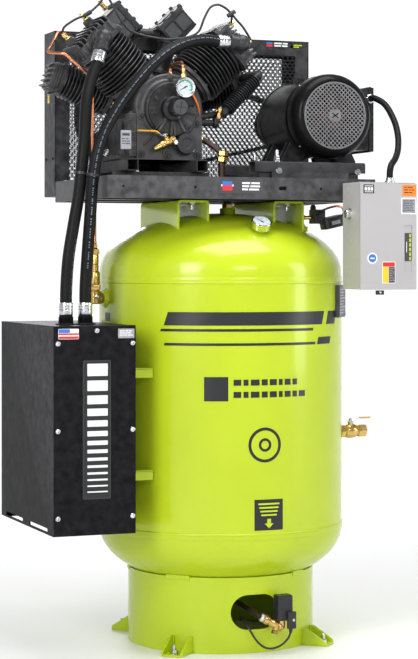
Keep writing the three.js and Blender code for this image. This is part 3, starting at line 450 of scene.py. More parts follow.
def make(name, shells, looks, body="root", bevel=0.0, replaces=(), soft=35, segments=2):
    """Turns the shells into a mesh piece in the frame's metres that rides on a body."""
    mesh = bpy.data.meshes.new(name)
    mesh.from_pydata([TO_FRAME @ p for p in shells.points], [], shells.faces)
    for look in looks:
        mesh.materials.append(look)
    mesh.polygons.foreach_set("material_index", shells.looks)
    mesh.polygons.foreach_set("use_smooth", [True] * len(mesh.polygons))
    work = bmesh.new()
    work.from_mesh(mesh)
    bmesh.ops.recalc_face_normals(work, faces=work.faces)
    work.to_mesh(mesh)
    work.free()
    mesh.set_sharp_from_angle(angle=math.radians(soft))
    piece = bpy.data.objects.new(name, mesh)
    bpy.context.scene.collection.objects.link(piece)
    if bevel:
        edges = piece.modifiers.new("edges", "BEVEL")
        edges.width = bevel / 1000
        edges.segments = segments
        edges.limit_method = "ANGLE"
        edges.angle_limit = math.radians(40)
        edges.harden_normals = True
    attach(piece, body)
    if replaces:
        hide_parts(*replaces)
    return piece


def cut(piece, tool):
    """Takes the tool's volume out of the piece, then removes the tool."""
    cutter = piece.modifiers.new("cut", "BOOLEAN")
    cutter.object = tool
    cutter.solver = "EXACT"
    bpy.context.view_layer.update()
    made = bpy.data.meshes.new_from_object(piece.evaluated_get(bpy.context.evaluated_depsgraph_get()))
    piece.modifiers.clear()
    piece.data = made
    made.polygons.foreach_set("use_smooth", [True] * len(made.polygons))
    made.set_sharp_from_angle(angle=math.radians(35))
    bpy.data.objects.remove(tool)
    return piece


def label(name, place, width, height, face, marks=(), looks=(), body="root", r=2.0):
    """A thin sticker centred on place; marks are (x0, x1, y0, y1, look number) plates printed on it."""
    s = Shells().at(place)
    s.prism(rounded(-width / 2, width / 2, -height / 2, height / 2, r), 0.02, 0.35)
    for x0, x1, y0, y1, look in marks:
        s.paint(look).prism([(x0, y0), (x1, y0), (x1, y1), (x0, y1)], 0.3, 0.5 + 0.1 * look)
    return make(name, s, [face, *looks], body=body)


def lines_of_print(x0, x1, top, rows, height, gap, look):
    """Rows of short dashes that stand for small print."""
    out = []
    for i in range(rows):
        x, y1 = x0, top - i * (height + gap)
        while x < x1 - 2 * height:
            end = min(x1, x + height * random.uniform(2.5, 6))
            out.append((x, end, y1 - height, y1, look))
            x = end + height * 0.7
    return out


# ---------- cords: hoses, conduit and drain cable ----------
def cord_piece(name, points, radius, look, node):
    """A free cord along the CAD route, as a poly curve with round section."""
    line = [TO_FRAME @ p for p in smooth_line(points)]
    curve = bpy.data.curves.new(name, "CURVE")
    curve.dimensions = "3D"
    curve.bevel_depth = radius / 1000
    curve.bevel_resolution = 8
    curve.use_fill_caps = True
    spline = curve.splines.new("POLY")
    spline.points.add(len(line) - 1)
    for point, p in zip(spline.points, line):
        point.co = (*p, 1)
    spline.use_smooth = True
    curve.materials.append(look)
    piece = bpy.data.objects.new(name, curve)
    bpy.context.scene.collection.objects.link(piece)
    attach(piece, "root")
    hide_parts(node)
    return smooth_line(points)


LP_PORT = LP_TOP + 28.3
PORT_Y = -86.4
ELBOW_REACH = 48.4
HOSE_LEAD = 35
port_left = spoke(LP_ANGLE, -1, LP_ROW) @ V(0, PORT_Y, LP_PORT)
port_right = spoke(LP_ANGLE, 1, LP_ROW) @ V(0, PORT_Y, LP_PORT)
exit_left = V(-0.3, -0.14, -0.94).normalized()
exit_right = V(-1, -0.05, 0.02).normalized()
ELBOW_DROP = V(0, -36, 0)
end_left = port_left + ELBOW_DROP + exit_left * ELBOW_REACH
end_right = port_right + ELBOW_DROP + exit_right * ELBOW_REACH
SPOUT_X = (-566, -506)
SPOUT_Y = -190
SPOUT_TOP = SIL_TOP + 30
hose_left = [
    V(SPOUT_X[0], SPOUT_Y, SPOUT_TOP + 0.3), V(-565, -190, 1100), V(-559, -192, 1190), V(-545, -194, 1280),
    V(-528, -194, 1375), V(-519, -193, 1449), V(-511, -189, 1514), V(-504, -180, 1563), V(-498, -167, 1612),
    V(-489, -150, 1662), V(-475, -132, 1705), V(-458, -116, 1745), end_left + exit_left * HOSE_LEAD,
    end_left,
]
hose_right = [
    V(SPOUT_X[1], SPOUT_Y, SPOUT_TOP + 0.3), V(-506, -191, 1100), V(-502, -198, 1200), V(-498, -214, 1320),
    V(-495, -228, 1420), V(-482, -232, 1500), V(-458, -228, 1565), V(-425, -220, 1620), V(-385, -210, 1675),
    V(-340, -202, 1728), V(-288, -188, 1778), V(-226, -166, 1822), V(-160, -140, 1850), V(-98, -116, 1862),
    end_right + exit_right * HOSE_LEAD, end_right,
]
GLAND = V(415, -360, BOX[5] - 16)
conduit = [
    V(MOTOR_X + 178, -60.3, 1704), V(MOTOR_X + 178, -86, 1704), V(MOTOR_X + 195, -124, 1684),
    V(MOTOR_X + 200, -182, 1631), V(MOTOR_X + 190, -232, 1580), V(MOTOR_X + 168, -278, 1532),
    V(MOTOR_X + 139, -318, 1499), V(MOTOR_X + 110, -347, 1475), V(416, -359, 1456), V(415, -360, 1446),
    V(415, -360, 1436.8),
]
drain_cable = [
    V(90, -348, 77.6), V(89, -348, 66), V(82, -346, 48), V(66, -341, 31), V(46, -336, 21), V(25, -331, 19),
    V(6, -327, 27), V(-10, -322, 43), V(-22, -315, 63), V(-30, -304, 82), V(-31, -288, 91),
    V(-29, -262, 94), V(-24, -236, 96),
]
left_line = cord_piece("intake_hose_left_skin", hose_left, HOSE_R, RUBBER, "intake_hose_left")
right_line = cord_piece("intake_hose_right_skin", hose_right, HOSE_R, RUBBER,
                        "intake_hose_right")
cord_piece("motor_conduit", conduit, 10, RUBBER, "conduit")
cord_piece("drain_valve_cable", drain_cable, 3.2, PLASTIC, "drain_cable")


def hose_print(name, line, radius, turn, first, last):
    """A line of printed dashes that lies on the hose's skin, turned round it by an angle."""
    s = Shells()
    marks = []
    for i in range(first, last - 1):
        a, b = line[i], line[i + 1]
        ahead = (b - a).normalized()
        front = V(math.sin(turn), -math.cos(turn), 0.3)
        out = (front - ahead * front.dot(ahead)).normalized()
        marks.append((a + out * (radius + 0.05), ahead, out))
    for i, (p, ahead, out) in enumerate(marks):
        if i % 9 in (3, 8):
            continue
        across = ahead.cross(out)
        step = (line[first + i + 1] - line[first + i]).length * random.uniform(0.45, 0.7)
        s.at(basis(p, ahead, across, out))
        s.box(0, step, -1.7, 1.7, -0.5, 0.3)
    s.at()
    make(name, s, [BLUE_INK])


hose_print("hose_right_print", smooth_line(hose_right, 16), HOSE_R, -0.1, 26, 224)
hose_print("hose_left_print", smooth_line(hose_left, 16), HOSE_R, 0.75, 10, 44)


def hose_end(s, tip, away):
    """A crimped ferrule with ridges; away points from the tip along the hose."""
    s.at(aim(tip, away)).paint(0)
    s.lathe([(15, -1), (20.4, -1), (21, 2), (21, 12), (20.2, 13), (21, 14), (21, 21), (20.2, 22),
             (21, 23), (21, 31), (20, 34), (17.5, 35), (17.5, 30), (15, 30), (15, -1)], 36)
    s.at()


# ---------- silencer fittings ----------
s = Shells()
for x in SPOUT_X:
    hose_end(s, V(x, SPOUT_Y, SPOUT_TOP + 1.3), V(0, 0, 1))
hose_end(s, end_left, exit_left)
hose_end(s, end_right, exit_right)
make("hose_ferrules", s, [ZINC])
TIE_Z = 1440
tied = []
s = Shells()
for line in (left_line, right_line):
    near = min(range(len(line)), key=lambda i: abs(line[i].z - TIE_Z))
    p, ahead = line[near], (line[near + 1] - line[near - 1]).normalized()
    tied.append(p)
    s.at(aim(p - ahead * 4, ahead))
    s.lathe([(18.2, 0), (20, 0), (20, 8), (18.2, 8), (18.2, 0)], 36)
s.at()
across = (tied[1] - tied[0]).normalized() * (HOSE_R + 1)
s.rod(tied[0] + across, tied[1] - across, 4, sides=10)
make("hose_tie", s, [PLASTIC])


# ---------- tank ----------
def dome(radius, rise, base, sign, steps=30, first=0):
    """A head's half-ellipse from its rim to its crown, as [radius, height] pairs."""
    turns = [math.pi / 2 * i / steps for i in range(first, steps + 1)]
    side = [(radius * max(math.cos(a), 0), base + sign * rise * math.sin(a)) for a in turns[:-1]]
    return [*side, (0, base + sign * rise)]


def dome_height(x, y):
    return SEAM_HIGH + FLANGE_HIGH + HEAD_RISE * math.sqrt(1 - (x * x + y * y) / TANK_R ** 2)


TANK_SIDES = 144
WALL = 8
for name, seam, sign, flange in (("tank_top_head", SEAM_HIGH, 1, FLANGE_HIGH),
                                 ("tank_bottom_head", SEAM_LOW, -1, FLANGE_LOW)):
    rim = seam + sign * 0.3
    base = seam + sign * flange
    outer = [(TANK_R - 0.8, rim), *dome(TANK_R - 0.8, HEAD_RISE, base, sign)]
    inner = [(TANK_R - WALL, rim), *dome(TANK_R - WALL, HEAD_RISE - WALL, base, sign, 10)]
    s = Shells().lathe(inner[::-1] + outer, TANK_SIDES)
    if sign > 0:
        s.at(aim(V(0, -60, 1310), V(0, 0, 1)))
        s.lathe([(0, 0), (30, 0), (27, 14), (24, 17), (24, 35), (22.5, 36.5), (0, 36.5)], 40)
        for x, y, r in ((226, -120, 17), (20, -272, 14)):
            p = V(x, y, dome_height(x, y) - 6)
            s.at(aim(p, V(x * 0.5, y * 0.5, 420)))
            s.lathe([(0, 0), (r + 4, 2), (r, 9), (r, 15), (r - 1.5, 16.5), (0, 16.5)], 32)
    make(name + "_shell", s.at(), [LIME], replaces=[name], soft=50)

s = Shells().lathe([(TANK_R - WALL, SEAM_LOW), (TANK_R, SEAM_LOW), (TANK_R, SEAM_HIGH),
                    (TANK_R - WALL, SEAM_HIGH), (TANK_R - WALL, SEAM_LOW)], TANK_SIDES)
for z0 in (529, 834):
    for y0 in (-240, 150):
        edge = math.sqrt(TANK_R ** 2 - min(abs(y0), abs(y0 + 24)) ** 2) - 3
        s.at().box(SIL[1] + 0.4, -edge, y0, y0 + 24, z0 + 24, z0 + 29)
        s.box(SIL[1] + 0.4, -edge, y0, y0 + 5, z0, z0 + 27)
        s.box(SIL[1] + 0.4, SIL[1] + 5.4, y0, y0 + 24, z0 - 12, z0 + 27)
for p, out, r in ((V(374, 0, 634), V(1, 0, 0), 22), (V(-374, 0, 1068), V(-1, 0, 0), 26)):
    deep = abs((node_box("outlet_valve")[0] - 0.4 if out.x > 0 else node_box("check_valve")[1] + 0.4) - p.x)
    s.at(aim(p, out))
    s.lathe([(0, 0), (r + 7, 0), (r + 5, 8), (r, 11), (r, deep - 1.5), (r - 1.5, deep), (0, deep)], 36)
make("tank_barrel_shell", s.at(), [LIME], replaces=["tank_barrel"], bevel=0.8)


def weld_bead(s, radius, z, width, height):
    """A rolled bead round the tank, with the small ripples of a machine weld."""
    sides, steps = 720, 6
    points, faces = [], []
    for i in range(sides):
        a = 2 * math.pi * i / sides
        ripple = 0.22 * math.sin(i * 1.9) + random.uniform(-0.12, 0.12)
        for k in range(steps + 1):
            b = math.pi * k / steps
            r = radius - 1.2 + (height + ripple) * math.sin(b)
            points.append((r * math.cos(a), r * math.sin(a), z + (width / 2) * math.cos(b)))
    ring = steps + 1
    for i in range(sides):
        j = (i + 1) % sides
        for k in range(ring):
            m = (k + 1) % ring
            faces.append((i * ring + k, j * ring + k, j * ring + m, i * ring + m))
    s.add(points, faces)


s = Shells()
for z, side in ((SEAM_LOW, -1), (SEAM_HIGH, 1)):
    weld_bead(s, TANK_R, z, 9, 3.8)
    band = [(-3, 3), (1.3, 3), (1.5, 5), (1.5, 15), (0.6, 17), (-3, 17), (-3, 3)]
    s.lathe([(TANK_R + out, z + side * up) for out, up in band], TANK_SIDES)
s.points = [V(p.x, min(p.y, TANK_R - 0.1), p.z) for p in s.points]  # the back stays inside the CAD box
make("tank_seam_welds", s, [LIME], soft=60)


# ---------- skirt and feet ----------
HOLE_LOW, HOLE_HIGH, HOLE_HALF = 71, 176, 77
hole_r = (HOLE_HIGH - HOLE_LOW) / 2
stadium = circle(HOLE_HALF - hole_r, 0, hole_r, 16, -math.pi / 2, math.pi)
stadium += circle(hole_r - HOLE_HALF, 0, hole_r, 16, math.pi / 2, math.pi)
s = Shells().lathe([(SKIRT_R - 6, 0), (SKIRT_R, 0), (SKIRT_R, SKIRT_TOP), (SKIRT_R - 6, SKIRT_TOP),
                    (SKIRT_R - 6, 0)],
                   TANK_SIDES)
skirt = make("tank_skirt_ring", s, [LIME], replaces=["tank_skirt"])
tool = Shells().at(basis(V(0, 0, (HOLE_LOW + HOLE_HIGH) / 2), V(1, 0, 0), V(0, 0, 1), V(0, -1, 0)))
cutter = make("skirt_cutter", tool.prism(stadium, -SKIRT_R - 20, SKIRT_R + 20), [LIME])
cut(skirt, cutter)
edges = skirt.modifiers.new("edges", "BEVEL")
edges.width = 0.0012
edges.segments = 2
edges.limit_method = "ANGLE"
edges.angle_limit = math.radians(50)

FOOT_HOLE_R = 345
s = Shells()
bolts = Shells()
for deg in (45, 135, 225, 315):
    turn = turned(deg, "Z")
    s.at(turn).prism(rounded(SKIRT_R - 4, 370, -34, 34, 12), 0.2, 7, [circle(FOOT_HOLE_R, 0, 9, 20)])
    for y in (-34, 28):
        rib = basis(V(0, y, 0), V(1, 0, 0), V(0, 0, 1), V(0, -1, 0))
        s.at(turn @ rib)
        s.prism([(SKIRT_R - 4, 4), (366, 4), (366, 12), (360, 17), (SKIRT_R + 14, 52), (SKIRT_R - 4, 52)],
                -6, 0)
    for y in (-27, 27):
        s.at(turn).tube([V(SKIRT_R + 2, y, 7), V(SKIRT_R + 2, y, 49)], 3.2, 8)
    bolts.at(turn).bolt(V(FOOT_HOLE_R, 0, 7), V(0, 0, 1), 19)
    bolts.rod(V(FOOT_HOLE_R, 0, 12), V(FOOT_HOLE_R, 0, 34), 5.6, sides=18, edge=1)
make("skirt_feet", s.at(), [LIME], bevel=0.9)
make("floor_bolts", bolts.at(), [ZINC])
s = Shells()
for deg in (22, 95, 165, 222, 303):
    turn = turned(deg, "Z")
    width = 27 if deg != 222 else 40
    s.at(turn)
    s.prism([(SKIRT_R - 8, -width), (SKIRT_R + 2.5, -width), (SKIRT_R + 2.5, width), (SKIRT_R - 8, width)],
            SKIRT_TOP - 9, SKIRT_TOP + 5)
make("skirt_weld_tabs", s.at(), [LIME], bevel=1.5)


# ---------- printed marks on the tank ----------
def wrapped(s, columns, closed=False):
    """A thin plate on the barrel; columns are (low, high) pairs of (arc, z), with arc from the front line."""
    points, faces = [], []
    for low, high in columns:
        for arc, z in (low, high):
            a = arc / TANK_R - math.pi / 2
            for r in (TANK_R + 0.05, TANK_R + 0.5):
                points.append((r * math.cos(a), r * math.sin(a), z))
    n = len(columns)
    for i in range(n if closed else n - 1):
        a, b = 4 * i, 4 * ((i + 1) % n)
        faces += [(a, b, b + 2, a + 2), (a + 1, a + 3, b + 3, b + 1), (a, a + 1, b + 1, b),
                  (a + 2, b + 2, b + 3, a + 3)]
    if not closed:
        last = 4 * (n - 1)
        faces += [(0, 2, 3, 1), (last, last + 1, last + 3, last + 2)]
    s.add(points, faces)


def wrapped_box(s, x0, x1, z0, z1, slant=0.0):
    count = max(2, int(abs(x1 - x0) / 6) + 1)
    xs = [x0 + (x1 - x0) * i / (count - 1) for i in range(count)]
    wrapped(s, [((x, z0), (x + slant, z1)) for x in xs])


def arc_at(deg):
    return math.radians(deg + 90) * TANK_R


s = Shells()
for x0, x1, z0, z1 in ((-318, 215, 990, 1030), (-330, 170, 972, 980), (240, 300, 990, 1030),
                       (190, 262, 930, 952), (-318, 180, 930, 938)):
    wrapped_box(s, x0, x1, z0, z1, (z1 - z0) * 0.35)
icon_x, icon_z = arc_at(-113.4), 802
wrapped_box(s, icon_x - 36, icon_x + 36, icon_z - 36, icon_z + 36)
for row, ends in ((812, (-104, 130)), (776, (-104, 176))):
    x = ends[0]
    for wide in (30, 22, 34, 26, 30, 20, 28, 24, 32):
        if x + wide <= ends[1]:
            wrapped_box(s, x, x + wide - 7, row, row + 18)
            x += wide
ring_x, ring_z = arc_at(-91.1), 635
turns = [2 * math.pi * i / 72 for i in range(72)]
for inner, outer in ((43, 52), (12, 20)):
    wrapped(s, [((ring_x + inner * math.cos(a), ring_z + inner * math.sin(a)),
                 (ring_x + outer * math.cos(a), ring_z + outer * math.sin(a))) for a in turns], closed=True)
note_x, note_z = arc_at(-89.2), 427
wrapped_box(s, note_x - 46, note_x + 46, note_z - 46, note_z + 46)
small_x = arc_at(-177)
wrapped_box(s, small_x - 20, small_x + 20, 998, 1024)
make("tank_marks", s, [INK], soft=60)
s = Shells()
for i in range(4):
    wrapped_box(s, note_x - 34 + 3 * i, note_x + 34 - 3 * i, note_z + 30 - 11 * i, note_z + 35 - 11 * i)
wrapped_box(s, note_x - 6, note_x + 6, note_z - 26, note_z - 12)
wrapped(s, [((note_x - 14, note_z - 26), (note_x - 14, note_z - 25.5)),
            ((note_x, note_z - 40), (note_x, note_z - 25.5)),
            ((note_x + 14, note_z - 26), (note_x + 14, note_z - 25.5))])
for p in s.points:
    p.x, p.y = p.x * (1 + 0.5 / TANK_R), p.y * (1 + 0.5 / TANK_R)
make("tank_note_print", s, [LIME], soft=60)

# data plate on its standoff at the right of the tank
plate_turn = turned(-34.5, "Z")
s = Shells().at(plate_turn)
s.box(TANK_R - 8, TANK_R + 7, -60, 60, 1008, 1108)
s.paint(1)
s.prism([(TANK_R + 6.5, -55), (TANK_R + 8.5, -55), (TANK_R + 8.5, 55), (TANK_R + 6.5, 55)], 1012, 1104)
s.paint(2)
for i in range(9):
    s.box(TANK_R + 8.4, TANK_R + 9, -46, 46 - (i % 3) * 16, 1092 - i * 9, 1096 - i * 9)
for y in (-51, 51):
    for z in (1016, 1100):
        s.rod(V(TANK_R + 8, y, z), V(TANK_R + 10.5, y, z), 2.4, sides=10)
make("tank_data_plate", s.at(), [BLACK, SLATE, SILVER], bevel=0.7)


# ---------- lime channels ----------
for name, x in zip(("deck_channel_left", "deck_channel_right"), CHANNEL_X):
    sections = []
    for y in [-170 + 340 * i / 24 for i in range(25)]:
        low = [dome_height(x + e, y) - 1.0 for e in (-52, -45, 45, 52)]
        top = DECK_Z0 - 0.4
        sections.append([
            (x - 52, y, low[0]), (x - 45, y, low[1]), (x - 45, y, top - 12), (x - 40, y, top - 7),
            (x + 40, y, top - 7), (x + 45, y, top - 12), (x + 45, y, low[2]), (x + 52, y, low[3]),
            (x + 52, y, top - 10), (x + 49, y, top - 3), (x + 42, y, top), (x - 42, y, top),
            (x - 49, y, top - 3), (x - 52, y, top - 10),
        ])
    n = len(sections[0])
    faces = [tuple(reversed(range(n))), tuple(range(n * 24, n * 25))]
    for i in range(24):
        for k in range(n):
            m = (k + 1) % n
            faces.append((i * n + k, i * n + m, (i + 1) * n + m, (i + 1) * n + k))
    s = Shells().add([p for row in sections for p in row], faces)
    for y in (-172, 172):
        for e in (-49, 49):
            line = [V(x + e, y * 0.97, dome_height(x + e, y * 0.97) + 4),
                    V(x + e, y * 0.9, dome_height(x + e, y * 0.9) + 1)]
            s.tube(line, 4, 8)
    make(name + "_skin", s, [LIME], replaces=[name], bevel=1.2)
bolts = Shells()
for x in CHANNEL_X:
    for y in (-148, 148):
        bolts.bolt(V(x + 3, y, DECK_Z0 - 7.6), V(0, 0, -1), 17)
        bolts.rod(V(x + 3, y, DECK_Z0 - 14), V(x + 3, y, DECK_Z0 - 30), 5, sides=14, edge=1)
make("channel_bolts", bolts, [ZINC])


# ---------- deck ----------
x0, x1, y0, y1 = DECK[:4]
DECK_HOLE_Z = 1402
holes = [circle(x, 0, 4.2, 16) for x in (-420, -194, 216)] + [rounded(76, 102, -6, 6, 5.5)]
s = Shells().at(facing_front(0, y0 + 5, DECK_HOLE_Z))
s.prism([(x0, DECK_Z0 - DECK_HOLE_Z), (x1, DECK_Z0 - DECK_HOLE_Z), (x1, 32), (x0, 32)], 0, 5, holes)
make("deck_front_plate", s, [BLACK])
s = Shells()
s.box(x0, x1, y1 - 5, y1, DECK_Z0, DECK_TOP)
for x in (x0, x1 - 5):
    s.box(x, x + 5, y0 + 4, y1 - 4, DECK_Z0, DECK_TOP)
s.prism([(x0 + 1, y0 + 1), (x1 - 1, y0 + 1), (x1 - 1, y1 - 1), (x0 + 1, y1 - 1)], DECK_TOP - 5, DECK_TOP,
        [circle(-414, 0, 10, 20), circle(*PIPE_DOWN, 14, 20)])
for y in (y0 + 4, y1 - 26):
    s.box(x0 + 4, x1 - 4, y, y + 22, DECK_Z0, DECK_Z0 + 5)
for y in (-120, 70):
    s.box(x0 + 4, x1 - 4, y, y + 50, DECK_Z0 + 0.2, DECK_TOP - 4)
for y in (-70, 150):
    s.box(-370, -64, y, y + 40, DECK_TOP - 1, RISER_TOP + 0.5)
for x in (60, 360):
    s.box(x, x + 36, -176, 130, DECK_TOP - 1, RISER_TOP)
make("deck_pan", s, [BLACK], replaces=["deck_frame"], bevel=1.6, segments=3)
s = Shells()
for x in (-330, -104):
    s.at(facing_front(x, 0, RISER_TOP + 19))
    s.prism(rounded(-19, 19, -19, 19, 5), -228, 112, [rounded(-15, 15, -15, 15, 2.5)])
make("pump_mount_tubes", s.at(), [BLACK], bevel=0.5)
bolts = Shells()
for x in (-330, -104):
    for y in (-50, 170):
        bolts.bolt(V(x + 32, y, RISER_TOP + 0.5), V(0, 0, 1), 16)
for x in (-440, -230, 20, 230, 370):
    bolts.bolt(V(x, 222, DECK_TOP), V(0, 0, 1), 11)
make("deck_bolts", bolts, [ZINC])
label("deck_label", facing_front(-46, y0 - 0.2, 1407), 140, 44, SLATE,
      [(-62, -30, 2, 14, 2), (-62, -30, -14, 2, 3), (-66, -26, -1.5, 4.5, 1),
       *lines_of_print(2, 60, 12, 3, 5.5, 4, 1)],
      [WHITE, BLUE, RED])


# ---------- silencer ----------
x0, x1, y0, y1, z0 = SIL[:5]
z1 = SIL_TOP
SHEET = 4
slots = [rounded(a, b, 7, 18, 5) for a, b in ((-190, -4), (68, 258))]
s = Shells().at(facing_left(x0 + SHEET, 0, z0))
s.prism([(-y1, 0), (-y0, 0), (-y0, z1 - z0), (-y1, z1 - z0)], 0, SHEET, slots)
s.at()
s.box(x1 - SHEET, x1, y0, y1, z0, z1)
s.box(x0 + 1, x1 - 1, y1 - SHEET, y1, z0, z1)
floor_line = [(x0 + 1, y0), (x1 - 1, y0), (x1 - 1, y1 - 1), (x0 + 1, y1 - 1)]
s.prism(floor_line, z0, z0 + SHEET, [rounded(x0 + SHEET + 2, -600, -264, 200, 4)])
s.prism(floor_line, z1 - SHEET, z1,
        [circle(x, SPOUT_Y, 13, 20) for x in SPOUT_X])
for x in (x0 + SHEET, x1 - SHEET - 16):
    s.box(x, x + 16, y0 + 0.5, y0 + 3, z0 + SHEET, z1 - SHEET)
make("silencer_shell", s, [SILENCER_BLACK], replaces=["silencer_body"], bevel=1.6,
     segments=3)
s = Shells()
for x in SPOUT_X:
    s.at(aim(V(x, SPOUT_Y, z1 - 10), V(0, 0, 1)))
    s.lathe([(13, 0), (22, 0), (22, 10.2), (31, 11), (31, 14), (24, 15.5), (22, 18), (22, 33), (20, 35),
             (20, 40), (13, 40), (13, 0)], 36)
make("silencer_spouts", s.at(), [SILENCER_BLACK])
cover = node_box("silencer_cover")
s = Shells().at(facing_front(0, cover[2] + 2.7, 0))
s.prism(rounded(cover[0], cover[1], cover[4], cover[5], 4), 0, 2.6)
make("silencer_front_cover", s.at(), [SILENCER_BLACK], replaces=["silencer_cover"],
     bevel=0.6)
s = Shells()
front = cover[2]
for x, z in ((-512, 979), (-630, 942), (-402, 942), (-630, 689), (-402, 689), (-630, 436), (-402, 436)):
    s.screw(V(x, front + 0.1, z), V(0, -1, 0), 7.2)
make("silencer_screws", s, [ZINC])
mid_x, mid_z = -512, 691
s = Shells().at(facing_front(mid_x, front, mid_z))
s.prism(rounded(-43, 43, -202, 202, 3), 0.02, 0.35)
s.paint(1)
for a, b, c, d in ((-41, 41, 199.4, 200.4), (-41, 41, -200.4, -199.4), (-41, -40, -200, 200),
                   (40, 41, -200, 200)):
    s.prism([(a, c), (b, c), (b, d), (a, d)], 0.3, 0.45)
s.paint(2)
spot, thick = 192.0, 36.0
while spot > -190:
    s.prism(rounded(-29, 33, spot - thick, spot, 1.2, 2), 0.3, 0.6)
    spot -= thick + 13
    thick = max(2.4, thick * 0.84)
make("silencer_panel", s.at(), [INK, SLATE, WHITE])
label("silencer_left_label", facing_front(-598, front - 0.05, 970), 62, 30, WHITE,
      [(-30, 30, -14, -7, 2), (-30, 30, -3, 2, 2), (-30, 4, 3, 14, 1)], [BLUE, RED])
label("silencer_right_label", facing_front(-422, front - 0.05, 970), 50, 28, SILVER,
      lines_of_print(-20, 20, 9, 3, 3.2, 3, 1), [WHITE])

fx, fy = (node_box("filter_element")[0] + node_box("filter_element")[1]) / 2, -30
s = Shells().at(moved(fx, fy, 0))
pleats = []
for i in range(160):
    a = 2 * math.pi * i / 160
    r = 76 if i % 2 else 59
    pleats.append((r * math.cos(a), r * math.sin(a)))
s.prism(pleats, z0 + 20, 826, [circle(0, 0, 55, 40)])
for low in (z0 + 5, 824):
    s.paint(1).lathe([(54, low), (80, low), (80, low + 16), (54, low + 16), (54, low)], 48)
make("filter_pleats", s.at(), [PAPER, RUBBER], replaces=["filter_element"])


# ---------- starter ----------
x0, x1, y0, y1, z0, z1 = DOOR[0] + 1, DOOR[1] - 1, BOX[2], -297, DOOR[4] + 17, BOX[5] - 16
knock = [(-326, 1398), (-362, 1398), (-344, 1240), (-344, 1140)]
s = Shells().at(facing_left(x0 + 3, 0, 0))
s.prism([(-y1, z0), (-y0, z0), (-y0, z1), (-y1, z1)], 0, 3)
s.at()
s.box(x1 - 3, x1, y0, y1, z0, z1)
s.box(x0 + 1, x1 - 1, y1 - 3, y1, z0, z1)
s.box(x0 + 1, x1 - 1, y0, y1 - 1, z0, z0 + 3)
s.box(x0 + 1, x1 - 1, y0, y1 - 1, z1 - 3, z1)
s.box(x0 + 18, x0 + 108, y1 - 1, DECK[2] - 0.4, 1372, 1416)
make("starter_enclosure", s, [GREY], replaces=["starter_box"], bevel=1.8, segments=3)
s = Shells()
for y, z in knock:
    s.at(facing_left(x0, y, z)).lathe([(10.5, -1), (12, -1), (12, 0.5), (10.5, 0.5), (10.5, -1)], 36)
    s.lathe([(0, -1), (6, -1), (6, 0.45), (0, 0.45)], 30)
make("starter_knockouts", s.at(), [GREY])
s = Shells().at(aim(V(x0 + 1, -350, 1325), V(-1, 0, 0)))
s.lathe([(0, 0), (17, 0), (17, 3), (14, 4), (14, 7), (0, 7)], 8)
s.lathe([(9, 6), (12, 6), (13, 8), (13, 15), (12, 17), (9, 17), (9, 6)], 28)
s.at(aim(GLAND - V(0, 0, 1), V(0, 0, 1)))
s.lathe([(0, 0), (18, 0), (18, 2), (15, 3), (15, 8), (12, 10), (12, 17.3), (0, 17.3)], 30)
s.at()
for x in (x0 + 30, x0 + 96):
    s.bolt(V(x, y1 - 3.2, 1394), V(0, -1, 0), 10)
make("starter_fittings", s, [ZINC])
fy0 = DOOR[2] + 1
recess = (x1 - 40, x1 - 14, 1148, 1290)
s = Shells().at(facing_front(0, fy0 + 2.5, 0))
s.prism(rounded(x0 - 1, x1 + 1, z0 - 1, z1 - 3, 3), 0, 2.5,
        [rounded(recess[0], recess[1], recess[2], recess[3], 2)])
s.at()
s.box(x0 - 1, x0 + 0.8, fy0 + 1, fy0 + 6.6, z0 - 1, z1 - 3)
s.box(x1 - 0.8, x1 + 1, fy0 + 1, fy0 + 6.6, z0 - 1, z1 - 3)
s.box(x0, x1, fy0 + 1, fy0 + 6.6, z1 - 5, z1 - 3)
s.box(x0, x1, fy0 + 1, fy0 + 6.6, z0 - 1, z0 + 1)
s.box(recess[0] - 1, recess[1] + 1, fy0 + 2.4, fy0 + 4, recess[2] - 1, recess[3] + 1)
make("starter_cover_panel", s, [GREY], body="starter_cover", replaces=["starter_door"],
     bevel=1.0, segments=3)
s = Shells()
s.box(340, 366, fy0 + 3.2, fy0 + 9.2, z0 - 16, z0 - 3)
s.box(345, 361, fy0 + 1.7, fy0 + 5.2, z0 - 13, z0 - 5)
s.paint(1).screw(V(353, fy0 + 1.8, z0 - 9), V(0, -1, 0), 3.5)
make("starter_latch", s, [PLASTIC, ZINC], body="starter_cover", bevel=0.8)
label("starter_dark_label", facing_front(313, fy0, 1399), 36, 27, INK,
      [(-14, 14, -10, -8, 1), (-14, 14, 8, 10, 1), (-14, -6, -5, 5, 1), (-4, 4, -5, 5, 1),
       (6, 14, -5, 5, 1)], [WHITE],
      body="starter_cover")
label("starter_orange_label", facing_front(449, fy0, 1396), 47, 34, ORANGE,
      lines_of_print(-17, 17, 11, 3, 3, 5, 1), [INK], body="starter_cover")
label("starter_silver_label", facing_front(447, fy0, 1349), 51, 50, WHITE,
      [(-22, 22, -21, 21, 1),
       *[(a, b, c, d + 0.01, 2) for a, b, c, d, _ in lines_of_print(-19, 19, 18, 7, 2.2, 3, 1)]],
      [SILVER, SLATE], body="starter_cover")
label("starter_warm_label", facing_front(380, fy0, 1147), 44, 66, WHITE,
      [(-20, 20, 18, 31, 1), (-20, -1, -31, 17, 2), (0, 20, -31, 17, 3),
       *lines_of_print(2, 18, 13, 8, 2, 3.2, 4)],
      [RED, SUN, SLATE, SILVER],
      body="starter_cover")
label("starter_slot_label", facing_front(446, fy0 + 2.4, 1224), 24, 86, SLATE,
      [*[(4, 9.5, 30 - 14 * i, 40 - 14 * i, 1) for i in range(6)], (-6, -4, -16, 16, 2)], [LIME, WHITE],
      body="starter_cover")
s = Shells().at(facing_front(325, fy0, 1190))
s.lathe([(0, 0), (17, 0), (17, 0.4), (0, 0.4)], 40)
